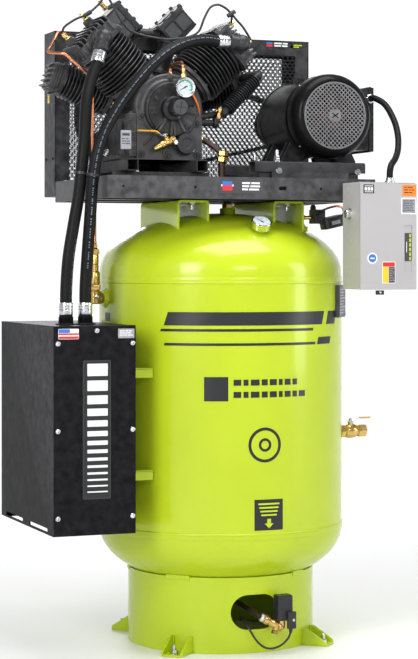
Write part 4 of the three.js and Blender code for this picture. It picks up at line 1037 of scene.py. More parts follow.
s.paint(1).lathe([(0, 0.3), (12.5, 0.3), (12.5, 0.6), (0, 0.6)], 40)
s.paint(0).prism([(-7, -2), (7, -2), (7, 2), (-7, 2)], 0.5, 0.8)
make("starter_round_sticker", s.at(), [WHITE, BLUE], body="starter_cover")

# contactor behind the cover: case, terminal rows with screws, overload relay with its dial
c = node_box("contactor")
s = Shells().box(c[0], c[1], c[2], c[3], 1230.5, c[5])
s.box(c[0] + 8, c[1] - 8, c[2] + 16, c[3], c[4], 1230)
s.box(c[0] + 10, c[1] - 10, c[2] + 0.2, c[2] + 6, 1262, 1312)
s.paint(1)
for x in (c[0] + 14, c[0] + 35, c[0] + 56, c[0] + 77):
    for z, y in ((c[5] - 10, c[2]), (1240, c[2]), (c[4] + 10, c[2] + 16)):
        if x < c[1] - 12 or z > 1235:
            s.screw(V(x, y + 0.4, z), V(0, -1, 0), 4.5)
s.paint(2).rod(V(c[1] - 24, c[2] + 17, 1196), V(c[1] - 24, c[2] + 13, 1196), 8, sides=24, edge=0.6)
make("contactor_unit", s, [PLASTIC, BRASS, ORANGE], replaces=["contactor"], bevel=0.8)


# ---------- belt guard ----------
x0, x1, y0, y1, z0, z1 = GUARD
s = Shells()
BORDER = 45


def mesh_panel(y, thick, skip=()):
    """A sheet with staggered long hexagonal holes inside a plain border, and none in the circles of skip."""
    left, right, low, high = x0 + BORDER, x1 - BORDER, z0 + BORDER, z1 - BORDER
    pitch_x, pitch_z, open_share = 17.0, 22.0, 0.42
    columns = int((right - left) / pitch_x)
    rows = int((high - low) / (pitch_z / 2))
    start_x = (left + right - columns * pitch_x) / 2
    start_z = (low + high - rows * pitch_z / 2) / 2
    shape = [(0, 0.667), (0.5, 0.333), (0.5, -0.333), (0, -0.667), (-0.5, -0.333), (-0.5, 0.333)]
    points, faces = [], []
    for row in range(1, rows):
        for column in range(columns + 1):
            cx = start_x + pitch_x * (column + (0.5 if row % 2 else 0))
            cz = start_z + pitch_z * row / 2
            if cx < left or cx > right:
                continue
            if any((cx - a) ** 2 + (cz - b) ** 2 < r * r for a, b, r in skip):
                continue
            n = len(points)
            for yy in (y, y + thick):
                for sx, sz in shape:
                    points.append((cx + sx * pitch_x, yy, cz + sz * pitch_z * 0.75))
                for sx, sz in shape:
                    points.append((cx + sx * pitch_x * open_share * 2, yy,
                                   cz + sz * pitch_z * 0.75 * open_share * 2))
            for k in range(6):
                m = (k + 1) % 6
                faces += [(n + k, n + m, n + 6 + m, n + 6 + k),
                          (n + 12 + k, n + 18 + k, n + 18 + m, n + 12 + m),
                          (n + 6 + k, n + 6 + m, n + 18 + m, n + 18 + k),
                          (n + k, n + 12 + k, n + 12 + m, n + m)]
    return points, faces


for name, y, skip in (("guard_front_mesh", y0 + 0.4, ((CRANK_X, CRANK_Z, 56), (MOTOR_X, MOTOR_Z, 56))),
                      ("guard_rear_mesh", y1 - 2.4, ())):
    s = Shells()
    s.add(*mesh_panel(y, 2, skip))
    a, b, c, d = x0 + 4.4, x1 - 4.4, z0 + 4.4, z1 - 4.4
    edge = BORDER + 4
    for u0, u1, w0, w1 in ((a, b, c, z0 + edge), (a, b, z1 - edge, d), (a, x0 + edge, z0 + edge, z1 - edge),
                           (x1 - edge, b, z0 + edge, z1 - edge)):
        s.box(u0, u1, y - 0.2, y + 2.2, w0, w1)
    for cx, cz, r in skip:
        s.at(along_y(cx, cz))
        s.lathe([(45, y - 0.1), (62, y - 0.1), (62, y + 2.1), (45, y + 2.1), (45, y - 0.1)], 40)
        s.at()
    make(name + "_sheet", s, [GUARD_BLACK], replaces=[name])
s = Shells()
wall = 3.5
s.box(x0, x0 + wall, y0, y1, z0, z1)
s.box(x1 - wall, x1, y0, y1, z0, z1)
s.box(x0 + 1, x1 - 1, y0, y1, z1 - wall, z1)
s.box(x0 + 1, x1 - 1, y0, y1, z0, z0 + wall)
for y in (y0 + 3.4, y1 - 6.4):
    for u0, u1, w0, w1 in ((x0 + 1, x1 - 1, z0 + 1, z0 + 16), (x0 + 1, x1 - 1, z1 - 16, z1 - 1),
                           (x0 + 1, x0 + 16, z0 + 16, z1 - 16), (x1 - 16, x1 - 1, z0 + 16, z1 - 16)):
        s.box(u0, u1, y, y + 3, w0, w1)
for sx, sz, ux, uz in ((x0, z0, 1, 1), (x1, z0, -1, 1), (x0, z1, 1, -1), (x1, z1, -1, -1)):
    s.tube([V(sx + ux * 3, y0 - 0.1, sz + uz * 3),
            V(sx + ux * (BORDER + 3), y0 - 0.1, sz + uz * (BORDER + 3))], 0.9, 6)
make("guard_box", s, [GUARD_BLACK], replaces=["guard_shell"], bevel=1.4, segments=3)
s = Shells()
for x in (x0 + 60, -150, 150, x1 - 60):
    for z in (z0 + 10, z1 - 10):
        s.bolt(V(x, y0 + 0.3, z), V(0, -1, 0), 8)
for z in (z0 + 120, z1 - 120):
    for y in (y0 + 20, y1 - 20):
        s.bolt(V(x0, y, z), V(-1, 0, 0), 8)
make("guard_bolts", s, [PLASTIC])
label("guard_side_label", facing_left(x0, 308, 1713), 18, 50, SUN,
      lines_of_print(-6, 6, 20, 6, 2.2, 4, 1), [INK])
label("guard_top_label", facing_front(304, y0 + 0.1, 1900), 96, 19, INK,
      [(-46, -24, 1, 8, 2), (-46, -24, -8, 0, 3), *lines_of_print(-18, 30, 7, 2, 5, 3, 1)],
      [WHITE, BLUE, RED])
label("guard_green_label", facing_front(366, y0 + 0.1, 1898), 44, 14, INK,
      [(-20, 20, 1, 4.5, 1), (-10, 10, -5, -1.5, 1)], [LIME])


# ---------- flywheel, belts and pulley ----------
FLY_Y0, FLY_Y1 = 268, 326
FLY_R, PULLEY_R = 190, 66


def grooves(radius, low, high, count):
    """Belt grooves across a rim, as the outer part of a lathe profile."""
    pitch = (high - low) / count
    out = [(radius, low)]
    for i in range(count):
        a = low + pitch * i
        out += [(radius, a + 3), (radius - 11, a + pitch / 2 - 4), (radius - 11, a + pitch / 2 + 4),
                (radius, a + pitch - 3)]
    return [*out, (radius, high)]


wheel = along_y(CRANK_X, CRANK_Z)
s = Shells().at(wheel)
rim = grooves(FLY_R, FLY_Y0, FLY_Y1, 2)
s.lathe([(FLY_R - 24, FLY_Y0), *rim, (FLY_R - 24, FLY_Y1), (FLY_R - 24, FLY_Y0)], 96)
s.lathe([(20, FLY_Y0), (40, FLY_Y0), (44, FLY_Y0 + 6), (44, FLY_Y1 - 6), (40, FLY_Y1), (20, FLY_Y1),
         (20, FLY_Y0)], 48)
for i in range(5):
    blade = wheel @ Matrix.Rotation(2 * math.pi * i / 5, 4, "Z") @ moved(0, 0, (FLY_Y0 + FLY_Y1) / 2)
    s.at(blade @ turned(18, "X")).prism([(40, -24), (FLY_R - 18, -34), (FLY_R - 18, 34), (40, 24)],
                                        -7, 7)
make("flywheel_wheel", s.at(), [CAST], body="crank", replaces=["flywheel"], bevel=1)
s = Shells().at(along_y(MOTOR_X, MOTOR_Z))
s.lathe([(18, FLY_Y0 - 4), (44, FLY_Y0 - 4), (46, FLY_Y0 - 1), *grooves(PULLEY_R, FLY_Y0, FLY_Y1, 2),
         (46, FLY_Y1 + 1), (18, FLY_Y1 + 1), (18, FLY_Y0 - 4)], 64)
make("motor_pulley_wheel", s.at(), [CAST], body="motor_shaft", replaces=["motor_pulley"])
s = Shells()
reach = math.hypot(MOTOR_X - CRANK_X, MOTOR_Z - CRANK_Z)
tilt = math.atan2(MOTOR_Z - CRANK_Z, MOTOR_X - CRANK_X)
lean = math.acos((FLY_R - PULLEY_R) / reach)
for y in (FLY_Y0 + 14.5, FLY_Y0 + 43.5):
    rows = []
    for grow in (-8.5, 2.5):
        line = circle(CRANK_X, CRANK_Z, FLY_R + grow, 60, tilt + lean, 2 * math.pi - 2 * lean)
        rows.append(line + circle(MOTOR_X, MOTOR_Z, PULLEY_R + grow, 30, tilt - lean, 2 * lean))
    n = len(rows[0])
    points = [(x, y + w, z) for line, half in zip(rows, (5, 8.5)) for w in (-half, half) for x, z in line]
    faces = []
    for i in range(n):
        j = (i + 1) % n
        faces += [(i, j, n + j, n + i), (2 * n + i, 3 * n + i, 3 * n + j, 2 * n + j),
                  (i, 2 * n + i, 2 * n + j, j), (n + i, n + j, 3 * n + j, 3 * n + i)]
    s.add(points, faces)
make("drive_belts", s, [BELT], replaces=["drive_belt"])
s = Shells().at(along_y(CRANK_X, CRANK_Z))
s.lathe([(0, 200), (18.5, 200), (18.5, 332), (16, 334), (0, 334)], 32)
s.lathe([(0, CASE_FRONT - 8), (18.8, CASE_FRONT - 8), (18.8, 2), (60, 2), (62, 4), (62, 14), (0, 14)], 40)
s.at(along_y(CRANK_X, CRANK_Z + 30)).lathe([(0, 13), (17, 13), (17, 151), (0, 151)], 28)
s.at(along_y(CRANK_X, CRANK_Z))
s.lathe([(0, 150), (62, 150), (62, 161), (60, 163), (19, 163), (19, 201), (0, 201)], 40)
make("crankshaft_turned", s.at(), [STEEL], body="crank", replaces=["crankshaft"])


# ---------- motor ----------
motor = along_y(MOTOR_X, MOTOR_Z)
s = Shells().at(motor)
s.lathe([(20, -109), (106, -109), (112, -106), (118, -98), (118, -68), (120, -64), (124, -62), (124, 150),
         (121, 153), (118, 156), (114, 168), (96, 182), (60, 198), (44, 202), (20, 202), (20, -109)], 96)
s.lathe([(122, -62), (126.5, -61), (126.5, -50), (124, -48), (122, -48), (122, -62)], 96)
s.lathe([(122, 132), (126.5, 133), (126.5, 150), (122, 151), (122, 132)], 96)
s.at().box(MOTOR_X - 46, MOTOR_X - 18, 18, 46, MOTOR_Z + 112, MOTOR_Z + 133)
for side in (-1, 1):
    outline = [(MOTOR_X + side * 128, 1490.3), (MOTOR_X + side * 60, 1490.3), (MOTOR_X + side * 40, 1545),
               (MOTOR_X + side * 92, 1572), (MOTOR_X + side * 128, 1502)]
    for y in (-54, 84):
        s.at(facing_front(0, y + 40, 0)).prism(outline, 0, 8)
        s.prism(outline, 32, 40)
    s.at()
    s.box(MOTOR_X + min(side * 128, side * 62), MOTOR_X + max(side * 128, side * 62), -54, 124, 1490.3,
          1499)
jx0, jx1, jy0, jy1, jz0, jz1 = MOTOR_X + 112, MOTOR_X + 193, -60, 88, 1532, 1742
s.box(jx0, jx1 - 18, jy0 + 4, jy1 - 4, jz0 + 6, jz1 - 6)
s.box(jx1 - 19, jx1 - 12, jy0, jy1, jz0, jz1)
s.box(jx1 - 12, jx1 - 2, jy0 + 2, jy1 - 2, jz0 + 2, jz1 - 2)
make("motor_housing", s, [MOTOR_BLACK], replaces=["motor_body"], bevel=1.2)
s = Shells()
for y in (jy0 + 14, jy1 - 14):
    for z in (jz0 + 14, jz1 - 14):
        s.screw(V(jx1 - 2, y, z), V(1, 0, 0), 4)
s.at(aim(V(MOTOR_X + 178, jy0 - 0.4, 1704), V(0, -1, 0)))
s.lathe([(0, -6), (15, -6), (15, 3), (12.5, 5), (0, 5)], 8)
for i in range(4):
    a = math.radians(90 * i + 45)
    s.at()
    s.screw(V(MOTOR_X + 134.2 * math.cos(a), -118, MOTOR_Z + 134.2 * math.sin(a)),
            V(math.cos(a), 0, math.sin(a)), 4)
make("motor_fittings", s.at(), [ZINC])
s = Shells().at(motor)
bowl = [(103 + 31 * math.sin(math.pi / 2 * i / 12),
         -178 + 44 * (1 - math.cos(math.pi / 2 * i / 12))) for i in range(13)]
inner = [(r - 2.5, y + 2.5) for r, y in bowl[::-1]]
s.lathe([*bowl, (134, -109.6), (131.5, -109.6), *inner, bowl[0]], 96)
# A dark disc behind the fan, in the motor's black, closes the view through the grill: a sheet standing in for
# the shade inside the cowl.
s.lathe([(20, -113), (129, -113), (129, -110.5), (20, -110.5), (20, -113)], 64)
make("motor_fan_bowl", s.at(), [MOTOR_BLACK], replaces=["motor_fan_cover"], bevel=0.4)
GRILL_R = 104
s = Shells().at(motor)
s.lathe([(0, -177.6), (19, -177.6), (20.5, -176.8), (20.5, -174.4), (0, -174.4)], 40)
s.lathe([(GRILL_R - 3, -178), (GRILL_R + 1.5, -178), (GRILL_R + 1.5, -174), (GRILL_R - 3, -174),
         (GRILL_R - 3, -178)], 96)
for i in range(-10, 11):
    off = i * 10.2
    half = math.sqrt(max(0, (GRILL_R - 2) ** 2 - off * off))
    if half > 12:
        for turn, depth in ((45, 0), (-45, 1.6)):
            s.at(motor @ turned(turn, "Z"))
            s.box(-half, half, off - 1.6, off + 1.6, -177.2 + depth, -175.2 + depth)
make("fan_grill", s.at(), [GRILL], bevel=0.3)
# Painted shade: two dark marks on the grill's hub stand in for its slots.
s = Shells()
for turn in (0.6, -0.6):
    s.at(motor @ Matrix.Rotation(turn, 4, "Z"))
    s.prism([(-13, -1.8), (13, -1.8), (13, 1.8), (-13, 1.8)], -178, -177.4)
make("fan_grill_painted_slot_shade", s.at(), [SHADOW])
s = Shells().at(motor)
s.lathe([(0, -159), (17, -159), (17, 328), (15, 330), (0, 330)], 32)
make("motor_shaft_turned", s.at(), [STEEL], body="motor_shaft", replaces=["motor_rotor"])
s = Shells().at(motor)
s.lathe([(17.2, -157), (38, -157), (40, -154), (40, -126), (17.2, -122), (17.2, -157)], 40)
for i in range(9):
    s.at(motor @ Matrix.Rotation(2 * math.pi * i / 9, 4, "Z") @ turned(10, "X"))
    s.box(36, 106, -2, 2, -156, -124)
make("motor_fan", s.at(), [RED_PLASTIC], body="motor_shaft", bevel=0.6)

# slide base: two folded rails, cross plates, adjusting studs with nuts
s = Shells()
for y0, y1 in ((-186, -136), (78, 128)):
    s.at(basis(V(42, 0, 0), V(0, 1, 0), V(0, 0, 1), V(1, 0, 0)))
    s.prism([(y0, RISER_TOP + 0.4), (y0 + 4, RISER_TOP + 0.4), (y0 + 4, 1482), (y0 + 8, 1486),
             (y1 - 8, 1486), (y1 - 4, 1482), (y1 - 4, RISER_TOP + 0.4), (y1, RISER_TOP + 0.4), (y1, 1483),
             (y1 - 2, 1488), (y1 - 7, 1490), (y0 + 7, 1490), (y0 + 2, 1488), (y0, 1483)], 0, 374)
s.at()
for y0, y1 in ((-186, -180), (122, 128)):
    s.box(98, 358, y0, y1, DECK_TOP + 0.4, RISER_TOP + 1)
for x0, x1 in ((150, 190), (376, 414)):
    s.box(x0, x1, -140, 84, 1478, 1489.6)
for y0, y1 in ((-56, -12), (82, 126)):
    s.box(204, 424, y0, y1, 1478, 1489.6)
make("motor_slide_rails", s, [BLACK], replaces=["motor_slide_base"], bevel=0.9)
s = Shells()
for x, y in ((125, -160), (160, 103)):
    s.rod(V(x, y, 1489), V(x, y, 1526), 6, sides=18, edge=1)
    s.bolt(V(x, y, 1490), V(0, 0, 1), 18)
    s.bolt(V(x, y, 1499), V(0, 0, 1), 16, washer=False)
for x in (121, 389):
    s.bolt(V(x, -186, 1461), V(0, -1, 0.3), 15)
for side in (-1, 1):
    for y in (-34, 104):
        s.bolt(V(MOTOR_X + side * 108, y, 1499), V(0, 0, 1), 15)
        s.rod(V(MOTOR_X + side * 108, y, 1503), V(MOTOR_X + side * 108, y, 1519), 5, sides=16, edge=1)
make("motor_mount_bolts", s, [ZINC])


# ---------- crankcase ----------
crank = along_y(CRANK_X, CRANK_Z)
s = Shells().at(crank)
s.lathe([(22, CASE_FRONT + 2), (104, CASE_FRONT + 2), (109, CASE_FRONT + 5), (112, CASE_FRONT + 9),
         (112, -20), (109, -16), (109, 205), (113, 209), (113, CASE_BACK - 3), (110, CASE_BACK),
         (22, CASE_BACK), (22, CASE_FRONT + 2)], 96)
front = facing_front(CRANK_X, 0, 0)
foot, crown = PUMP_BASE, CRANK_Z
side_line = [(-107, foot + 10), (-107, crown - 8), (-97, crown + 14), (97, crown + 14), (107, crown - 8),
             (107, foot + 10), (103, foot), (-103, foot)]
s.at(front).prism(side_line, -CASE_BACK, -CASE_FRONT - 6)
s.prism(rounded(-158, 104, foot, foot + 16, 4), -CASE_BACK + 10, -CASE_FRONT - 12)
for angle, side, row, r in ((LP_ANGLE, -1, LP_ROW, 72), (LP_ANGLE, 1, LP_ROW, 72),
                            (HP_ANGLE, -1, HP_ROW, 46), (HP_ANGLE, 1, HP_ROW, 46),
                            (BOX_ANGLE, -1, BOX_ROW, 34), (BOX_ANGLE, 1, BOX_ROW, 34)):
    s.at(spoke(angle, side, row))
    s.lathe([(0, 60), (r - 6, 60), (r - 6, 118), (r, 123), (r, 133.5), (r - 1.2, 134.7), (0, 134.7)], 48)
for x in (-148, 92):
    for y in (-30, 190):
        s.at(aim(V(CRANK_X + x, y, foot + 15), V(0, 0, 1))).lathe([(0, 0), (17, 0), (15, 6), (0, 6)], 24)
for y in (20, 80, 140):
    s.at(facing_front(CRANK_X, y, 0))
    s.prism([(-118, foot + 14), (-104, foot + 14), (-104, crown - 30), (-109, crown - 30)], -4, 4)
    s.prism([(118, foot + 2), (104, foot + 2), (104, crown - 30), (109, crown - 30)], -4, 4)
make("crankcase_casting", s.at(), [CAST], replaces=["crankcase"], bevel=2.2, segments=3)

# the grey-black front plate with its bosses, foot ribs and the raised ring that takes the bearing cover
s = Shells().at(front)
plate = [(-107, foot + 1), (-103, foot), (100, foot), (107, foot + 6), (107, crown - 28), (92, crown - 2),
         (64, crown + 66), (40, crown + 92), (0, crown + 103), (-40, crown + 92), (-64, crown + 70),
         (-92, crown + 4), (-107, crown - 2)]
s.prism(plate, -CASE_FRONT - 8, -CASE_FRONT)
s.at(crank)
s.lathe([(84.8, CASE_FRONT - 6), (91, CASE_FRONT - 6), (95, CASE_FRONT - 3), (97, CASE_FRONT + 1),
         (84.8, CASE_FRONT + 1), (84.8, CASE_FRONT - 6)], 72)
bosses = [(-92, crown - 22), (-92, foot + 18), (90, crown - 42), (92, foot + 16), (62, crown + 54),
          (-60, crown + 58), (0, crown + 91), (-6, foot + 12)]
for x, z in bosses:
    s.at(aim(V(CRANK_X + x, CASE_FRONT + 1, z), V(0, -1, 0)))
    s.lathe([(0, 0), (14, 0), (12, 5), (0, 5)], 28)
s.at(front)
for a, b in (((-84, foot + 46), (-58, foot + 70)), ((-20, foot + 14), (-20, foot + 40)),
             ((34, foot + 14), (60, foot + 18))):
    s.tube([V(*a, -CASE_FRONT + 1), V(*b, -CASE_FRONT + 1)], 4, 8)
s.prism(circle(46, foot + 51, 40, 40), -CASE_FRONT - 1, -CASE_FRONT + 3)
s.prism([(-54, foot + 28), (-6, foot + 28), (-6, foot + 84), (-30, foot + 92), (-54, foot + 84)],
        -CASE_FRONT - 1, -CASE_FRONT + 2.5)
make("crankcase_front_plate", s.at(), [GREY_CAST], bevel=1.8, segments=3)
s = Shells()
for x, z in bosses:
    s.bolt(V(CRANK_X + x, CASE_FRONT - 4, z), V(0, -1, 0), 12)
for i in range(10):
    a = 2 * math.pi * (i + 0.5) / 10
    s.bolt(V(CRANK_X + 98 * math.cos(a), CASE_BACK, CRANK_Z + 98 * math.sin(a)), V(0, 1, 0), 11)
for x in (-148, 92):
    for y in (-30, 190):
        s.bolt(V(CRANK_X + x, y, foot + 21), V(0, 0, 1), 16)
make("crankcase_bolts", s, [CAST], bevel=0.4)

# bearing cover: raised segment on its left, ribs, stepped hub and a cross-slotted cap
s = Shells().at(crank)
s.lathe([(21, -79), (36, -79), (37.5, -82), (38, -99), (34, -104), (25, -106), (24.5, -150),
         (22.5, -154.5), (0, -155), (0, -110), (21, -100), (21, -79)], 72)
s.lathe([(21, -78), (78, -78), (83, -75), (84.5, -72), (84.5, -55.6), (21, -55.6), (21, -78)], 96)
for start, sweep, high in ((118, 108, -88), (12, 50, -83)):
    a0, span = math.radians(-start - sweep), math.radians(sweep)
    ring = circle(0, 0, 80, 30, a0, span) + circle(0, 0, 46, 24, a0, span)[::-1]
    s.prism(ring, high, -76)
for deg in (227, 235, 266, 274, 300, 350, 82):
    a = math.radians(-deg)
    s.at(crank @ Matrix.Rotation(a, 4, "Z")).box(36, 82, -3, 3, -87, -76)
for deg in (150, 190):
    a = math.radians(-deg)
    s.at(crank @ moved(62 * math.cos(a), 62 * math.sin(a), 0))
    s.lathe([(0, -91.5), (7, -91.5), (8.5, -90), (8.5, -87), (0, -87)], 28)
make("bearing_cover_casting", s.at(), [CAST], replaces=["bearing_cover"], bevel=1.4,
     segments=3)
s = Shells().at(crank)
s.lathe([(0, -155.6), (22, -155.6), (22.8, -154.6), (22.8, -150), (0, -150)], 48)
# Painted shade: a thin dark cross on the cap stands in for its cross slot.
s.paint(1)
for turn in (8, 98):
    s.at(crank @ turned(turn, "Z")).box(-18, 18, -0.9, 0.9, -155.9, -155.2)
s.paint(2)
for i in range(6):
    a = math.radians(60 * i + 12)
    s.at()
    s.bolt(V(CRANK_X + 71 * math.cos(a), -78 if a < 1.4 or a > 4 else -88, CRANK_Z + 71 * math.sin(a)),
           V(0, -1, 0), 11)
make("bearing_cover_cap", s, [GREY_CAST, SHADOW, CAST], bevel=0.5)

# knurled sight cap with a printed arc, the ribbed breather box and the silver plate beside it
s = Shells().at(aim(V(-144, -52, 1545), V(0, -1, 0)))
s.lathe([(0, 0), (36, 0), (36, 9), (31, 12), (31, 20), (32.5, 21), (32.5, 30), (31, 33.5), (17, 34),
         (15, 32.5), (0, 32.5)], 60)
for i in range(28):
    a = 2 * math.pi * i / 28
    s.rod(V(32.5 * math.cos(a), 32.5 * math.sin(a), 21.5),
          V(32.5 * math.cos(a), 32.5 * math.sin(a), 29.5), 1.2, sides=6)
s.at(facing_front(-144, -52, 1545))
s.paint(1).prism(circle(0, 0, 39.5, 16, -0.7, 1.4) + circle(0, 0, 36.4, 16, -0.7, 1.4)[::-1], 6, 8)
make("sight_cap", s.at(), [PLASTIC, WHITE])
s = Shells()
s.box(-321, -295, -49, -21, PUMP_BASE + 10, 1524)
s.box(-320, -296, -48, -22, 1520, 1634)
for i in range(12):
    s.box(-322, -294, -50, -20, 1524 + 9 * i, 1529 + 9 * i)
s.box(-322.5, -293.5, -50.5, -19.5, 1630, 1636)
s.rod(V(-308, -35, 1634), V(-308, -35, 1642), 9, sides=20, edge=1)
for y in (-44, -26):
    s.rod(V(-308, y, 1636), V(-308, y, 1640), 3, sides=8)
make("breather_box", s, [CAST], bevel=1)
label("pump_side_plate", facing_front(-332, CASE_FRONT + 2, 1554), 34, 58, SILVER,
      [(-12, 12, 12, 20, 1), *lines_of_print(-13, 13, 4, 3, 3, 4, 1)], [SLATE])


# ---------- cylinders ----------
def finned_cylinder(m, base, top, fin, core, bore, count, studs):
    """A finned barrel between its base flange and the head, with rounded fins and flange nuts."""
    profile = [(bore, base + 0.3), (core + 15, base + 0.3), (core + 15, base + 11),
               (core + 11, base + 14), (core, base + 15)]
    pitch = (top - base - 20) / count
    for i in range(count):
        z = base + 19 + pitch * i
        profile += [(core, z), (fin - 1, z + 0.4), (fin, z + 1.6), (fin - 1, z + 2.9), (core, z + 4.0)]
    profile += [(core, top - 5), (core + 13, top - 4), (core + 13, top - 0.2), (bore, top - 0.2),
                (bore, base + 0.3)]
    s = Shells().at(m).lathe(profile, 72)
    for i in range(studs):
        a = 2 * math.pi * (i + 0.5) / studs
        s.at(m).bolt(V((core + 9) * math.cos(a), (core + 9) * math.sin(a), base + 12), V(0, 0, 1), 10)
    return s


def hand_of(side):
    return "left" if side < 0 else "right"


for side in (-1, 1):
    hand = hand_of(side)
    lp = spoke(LP_ANGLE, side, LP_ROW)
    hp = spoke(HP_ANGLE, side, HP_ROW)
    bx = spoke(BOX_ANGLE, side, BOX_ROW)
    s = finned_cylinder(lp, 135, LP_TOP, 90, 63, 50.5, 10, 8)
    make("first_stage_fins_" + hand, s.at(), [CAST], replaces=["first_stage_cylinder_" + hand],
         soft=50)
    s = finned_cylinder(hp, 135, HP_TOP, 56, 39, 30.5, 12, 6)
    make("second_stage_fins_" + hand, s.at(), [CAST], replaces=["second_stage_cylinder_" + hand],
         soft=50)

    # low-pressure head: valve plate, finned block, bolts, unloader caps and the inlet flange
    z0 = LP_TOP + 0.3
    s = Shells().at(lp)
    s.prism(rounded(-82, 82, -84, 84, 26, 8), z0, z0 + 6)
    s.prism(rounded(-82, 82, -84, 84, 26, 8), z0 + 7.2, z0 + 14)
    s.prism(rounded(-80, 80, -82, 82, 26, 8), z0 + 5, z0 + 8)
    s.prism(rounded(-66, 66, -76, 76, 14, 6), z0 + 13, z0 + 48)
    for i in range(9):
        x = -64 + i * 16
        s.at(lp @ moved(x, 0, 0) @ turned(90, "Z") @ turned(90, "X"))
        s.prism([(-74, z0 + 44), (74, z0 + 44), (76, z0 + 50), (72, z0 + 62), (66, z0 + 66),
                 (-66, z0 + 66), (-72, z0 + 62), (-76, z0 + 50)], -2.4, 2.4)
    s.at(lp)
    for i in range(7):
        off = -60 + i * 20
        s.box(off - 4.5, off + 4.5, -79, 79, z0 + 14, z0 + 47)
        s.box(-69, 69, off * 1.15 - 4.5, off * 1.15 + 4.5, z0 + 14, z0 + 47)
    s.at(lp @ aim(V(0, -60, z0 + 28), V(0, -1, 0)))
    s.lathe([(0, 0), (29, 0), (29, 17), (24, 19), (24, 26), (0, 26)], 40)
    for a in (0.8, 2.35, 3.95, 5.5):
        s.bolt(V(33 * math.cos(a), 33 * math.sin(a), 14), V(0, 0, 1), 8)
    make("first_stage_head_casting_" + hand, s.at(), [CAST], replaces=["first_stage_head_" + hand],
         bevel=1.1, segments=2)
    s = Shells()
    for x, y in ((-70, -50), (-72, 0), (-70, 50), (70, -50), (72, 0), (70, 50), (-36, -75), (36, -75),
                 (-36, 75), (36, 75)):
        s.at(lp).bolt(V(x, y, z0 + 14), V(0, 0, 1), 14)
    make("first_stage_head_bolts_" + hand, s.at(), [CAST], bevel=0.5)
    s = Shells()
    for x in (-42, 42):
        s.at(lp @ moved(x, 20, z0)).paint(0)
        s.lathe([(0, 46), (19, 46), (19, 66), (17, 70), (17, 80), (14, 84), (0, 84)], 6)
        s.lathe([(0, 60), (16, 60), (16, 72), (0, 72)], 24)
        s.paint(1).lathe([(0, 83), (8, 83), (8, 89), (5.5, 91), (5.5, 96), (0, 96)], 6)
    make("unloader_caps_" + hand, s.at(), [CAST, BRASS], bevel=0.4)

    # high-pressure head
    h0 = HP_TOP + 0.3
    s = Shells().at(hp)
    s.prism(rounded(-50, 50, -50, 50, 13, 6), h0, h0 + 12)
    s.prism(rounded(-42, 42, -42, 42, 10, 6), h0 + 11, h0 + 41)
    for x in (-34, -17, 0, 17, 34):
        s.prism([(x - 2.2, -41), (x + 2.2, -41), (x + 2.2, 41), (x - 2.2, 41)], h0 + 40, h0 + 52)
    for z in (16, 24, 32):
        s.prism(rounded(-45, 45, -45, 45, 11, 5), h0 + z, h0 + z + 3)
    for x in (-42, 42):
        for y in (-42, 42):
            s.bolt(V(x, y, h0 + 12), V(0, 0, 1), 12)
    make("second_stage_head_casting_" + hand, s.at(), [CAST], replaces=["second_stage_head_" + hand],
         bevel=0.9, segments=2)

    # header box: a rounded casting with two machined pads on its long face, on a flanged neck
    turn = Matrix.Translation(bx @ V(0, 0, 298)) @ turned(side * -45, "Y")
    s = Shells().at(turn @ turned(90, "X"))
    s.prism(rounded(-51, 51, -41, 33, 8, 6), -43, 43)
    s.at(turn).prism(rounded(-59, 59, -46, 46, 11, 6), 32, 42)
    s.prism(rounded(-56, 56, -45, 45, 10, 6), 26, 33)
    s.prism(rounded(-48, 48, -40, 40, 8, 6), -42.4, -36)
    s.prism(rounded(-30, 30, -24, 24, 6, 4), 41, 44)
    s.at(bx).lathe([(0, 135), (42, 135), (42, 144), (34, 148), (30, 156), (30, 262), (0, 262)], 40)
    s.lathe([(0, 236), (35, 236), (37, 240), (37, 262), (0, 262)], 40)
    for i in range(4):
        a = math.radians(90 * i + 45)
        s.bolt(V(36 * math.cos(a), 36 * math.sin(a), 145), V(0, 0, 1), 10)
    make("header_box_casting_" + hand, s.at(), [CAST], replaces=["header_box_" + hand],
         bevel=1.6, segments=3)
    s = Shells().at(turn @ turned(90, "X"))
    for x in (-24, 24):
        s.prism(rounded(x - 20, x + 20, -25, 20, 4), 42.5, 45.6)
    make("header_box_pads_" + hand, s.at(), [GREY_CAST], bevel=0.4)
    s = Shells().at(turn)
    for x in (-51, -18, 18, 51):
        for y in (-38, 38):
            s.bolt(V(x, y, 42), V(0, 0, 1), 11)
    for x in (-47, 47):
        for z in (-36, 22):
            s.bolt(V(x, -42.6, z), V(0, -1, 0), 8, washer=False)
    make("header_box_bolts_" + hand, s.at(), [CAST], bevel=0.3)

# crossover pipe between the header boxes
ends = node_box("crossover_pipe")
s = Shells()
pipe = basis(V(0, BOX_ROW, 1912), V(0, 1, 0), V(0, 0, 1), V(1, 0, 0))
s.at(pipe).lathe([(0, ends[0]), (13.5, ends[0]), (13.5, ends[1]), (0, ends[1])], 36)
for x, way in ((ends[0], 1), (ends[1], -1)):
    s.at(aim(V(x, BOX_ROW, 1912), V(way, 0, 0)))
    s.lathe([(0, 4), (21, 4), (21, 15), (18, 18), (14, 19), (14, 24), (0, 24)], 6)
    s.lathe([(0, 2), (19, 2), (19, 8), (0, 8)], 30)
make("crossover_tube", s.at(), [CAST], replaces=["crossover_pipe"], bevel=0.5)

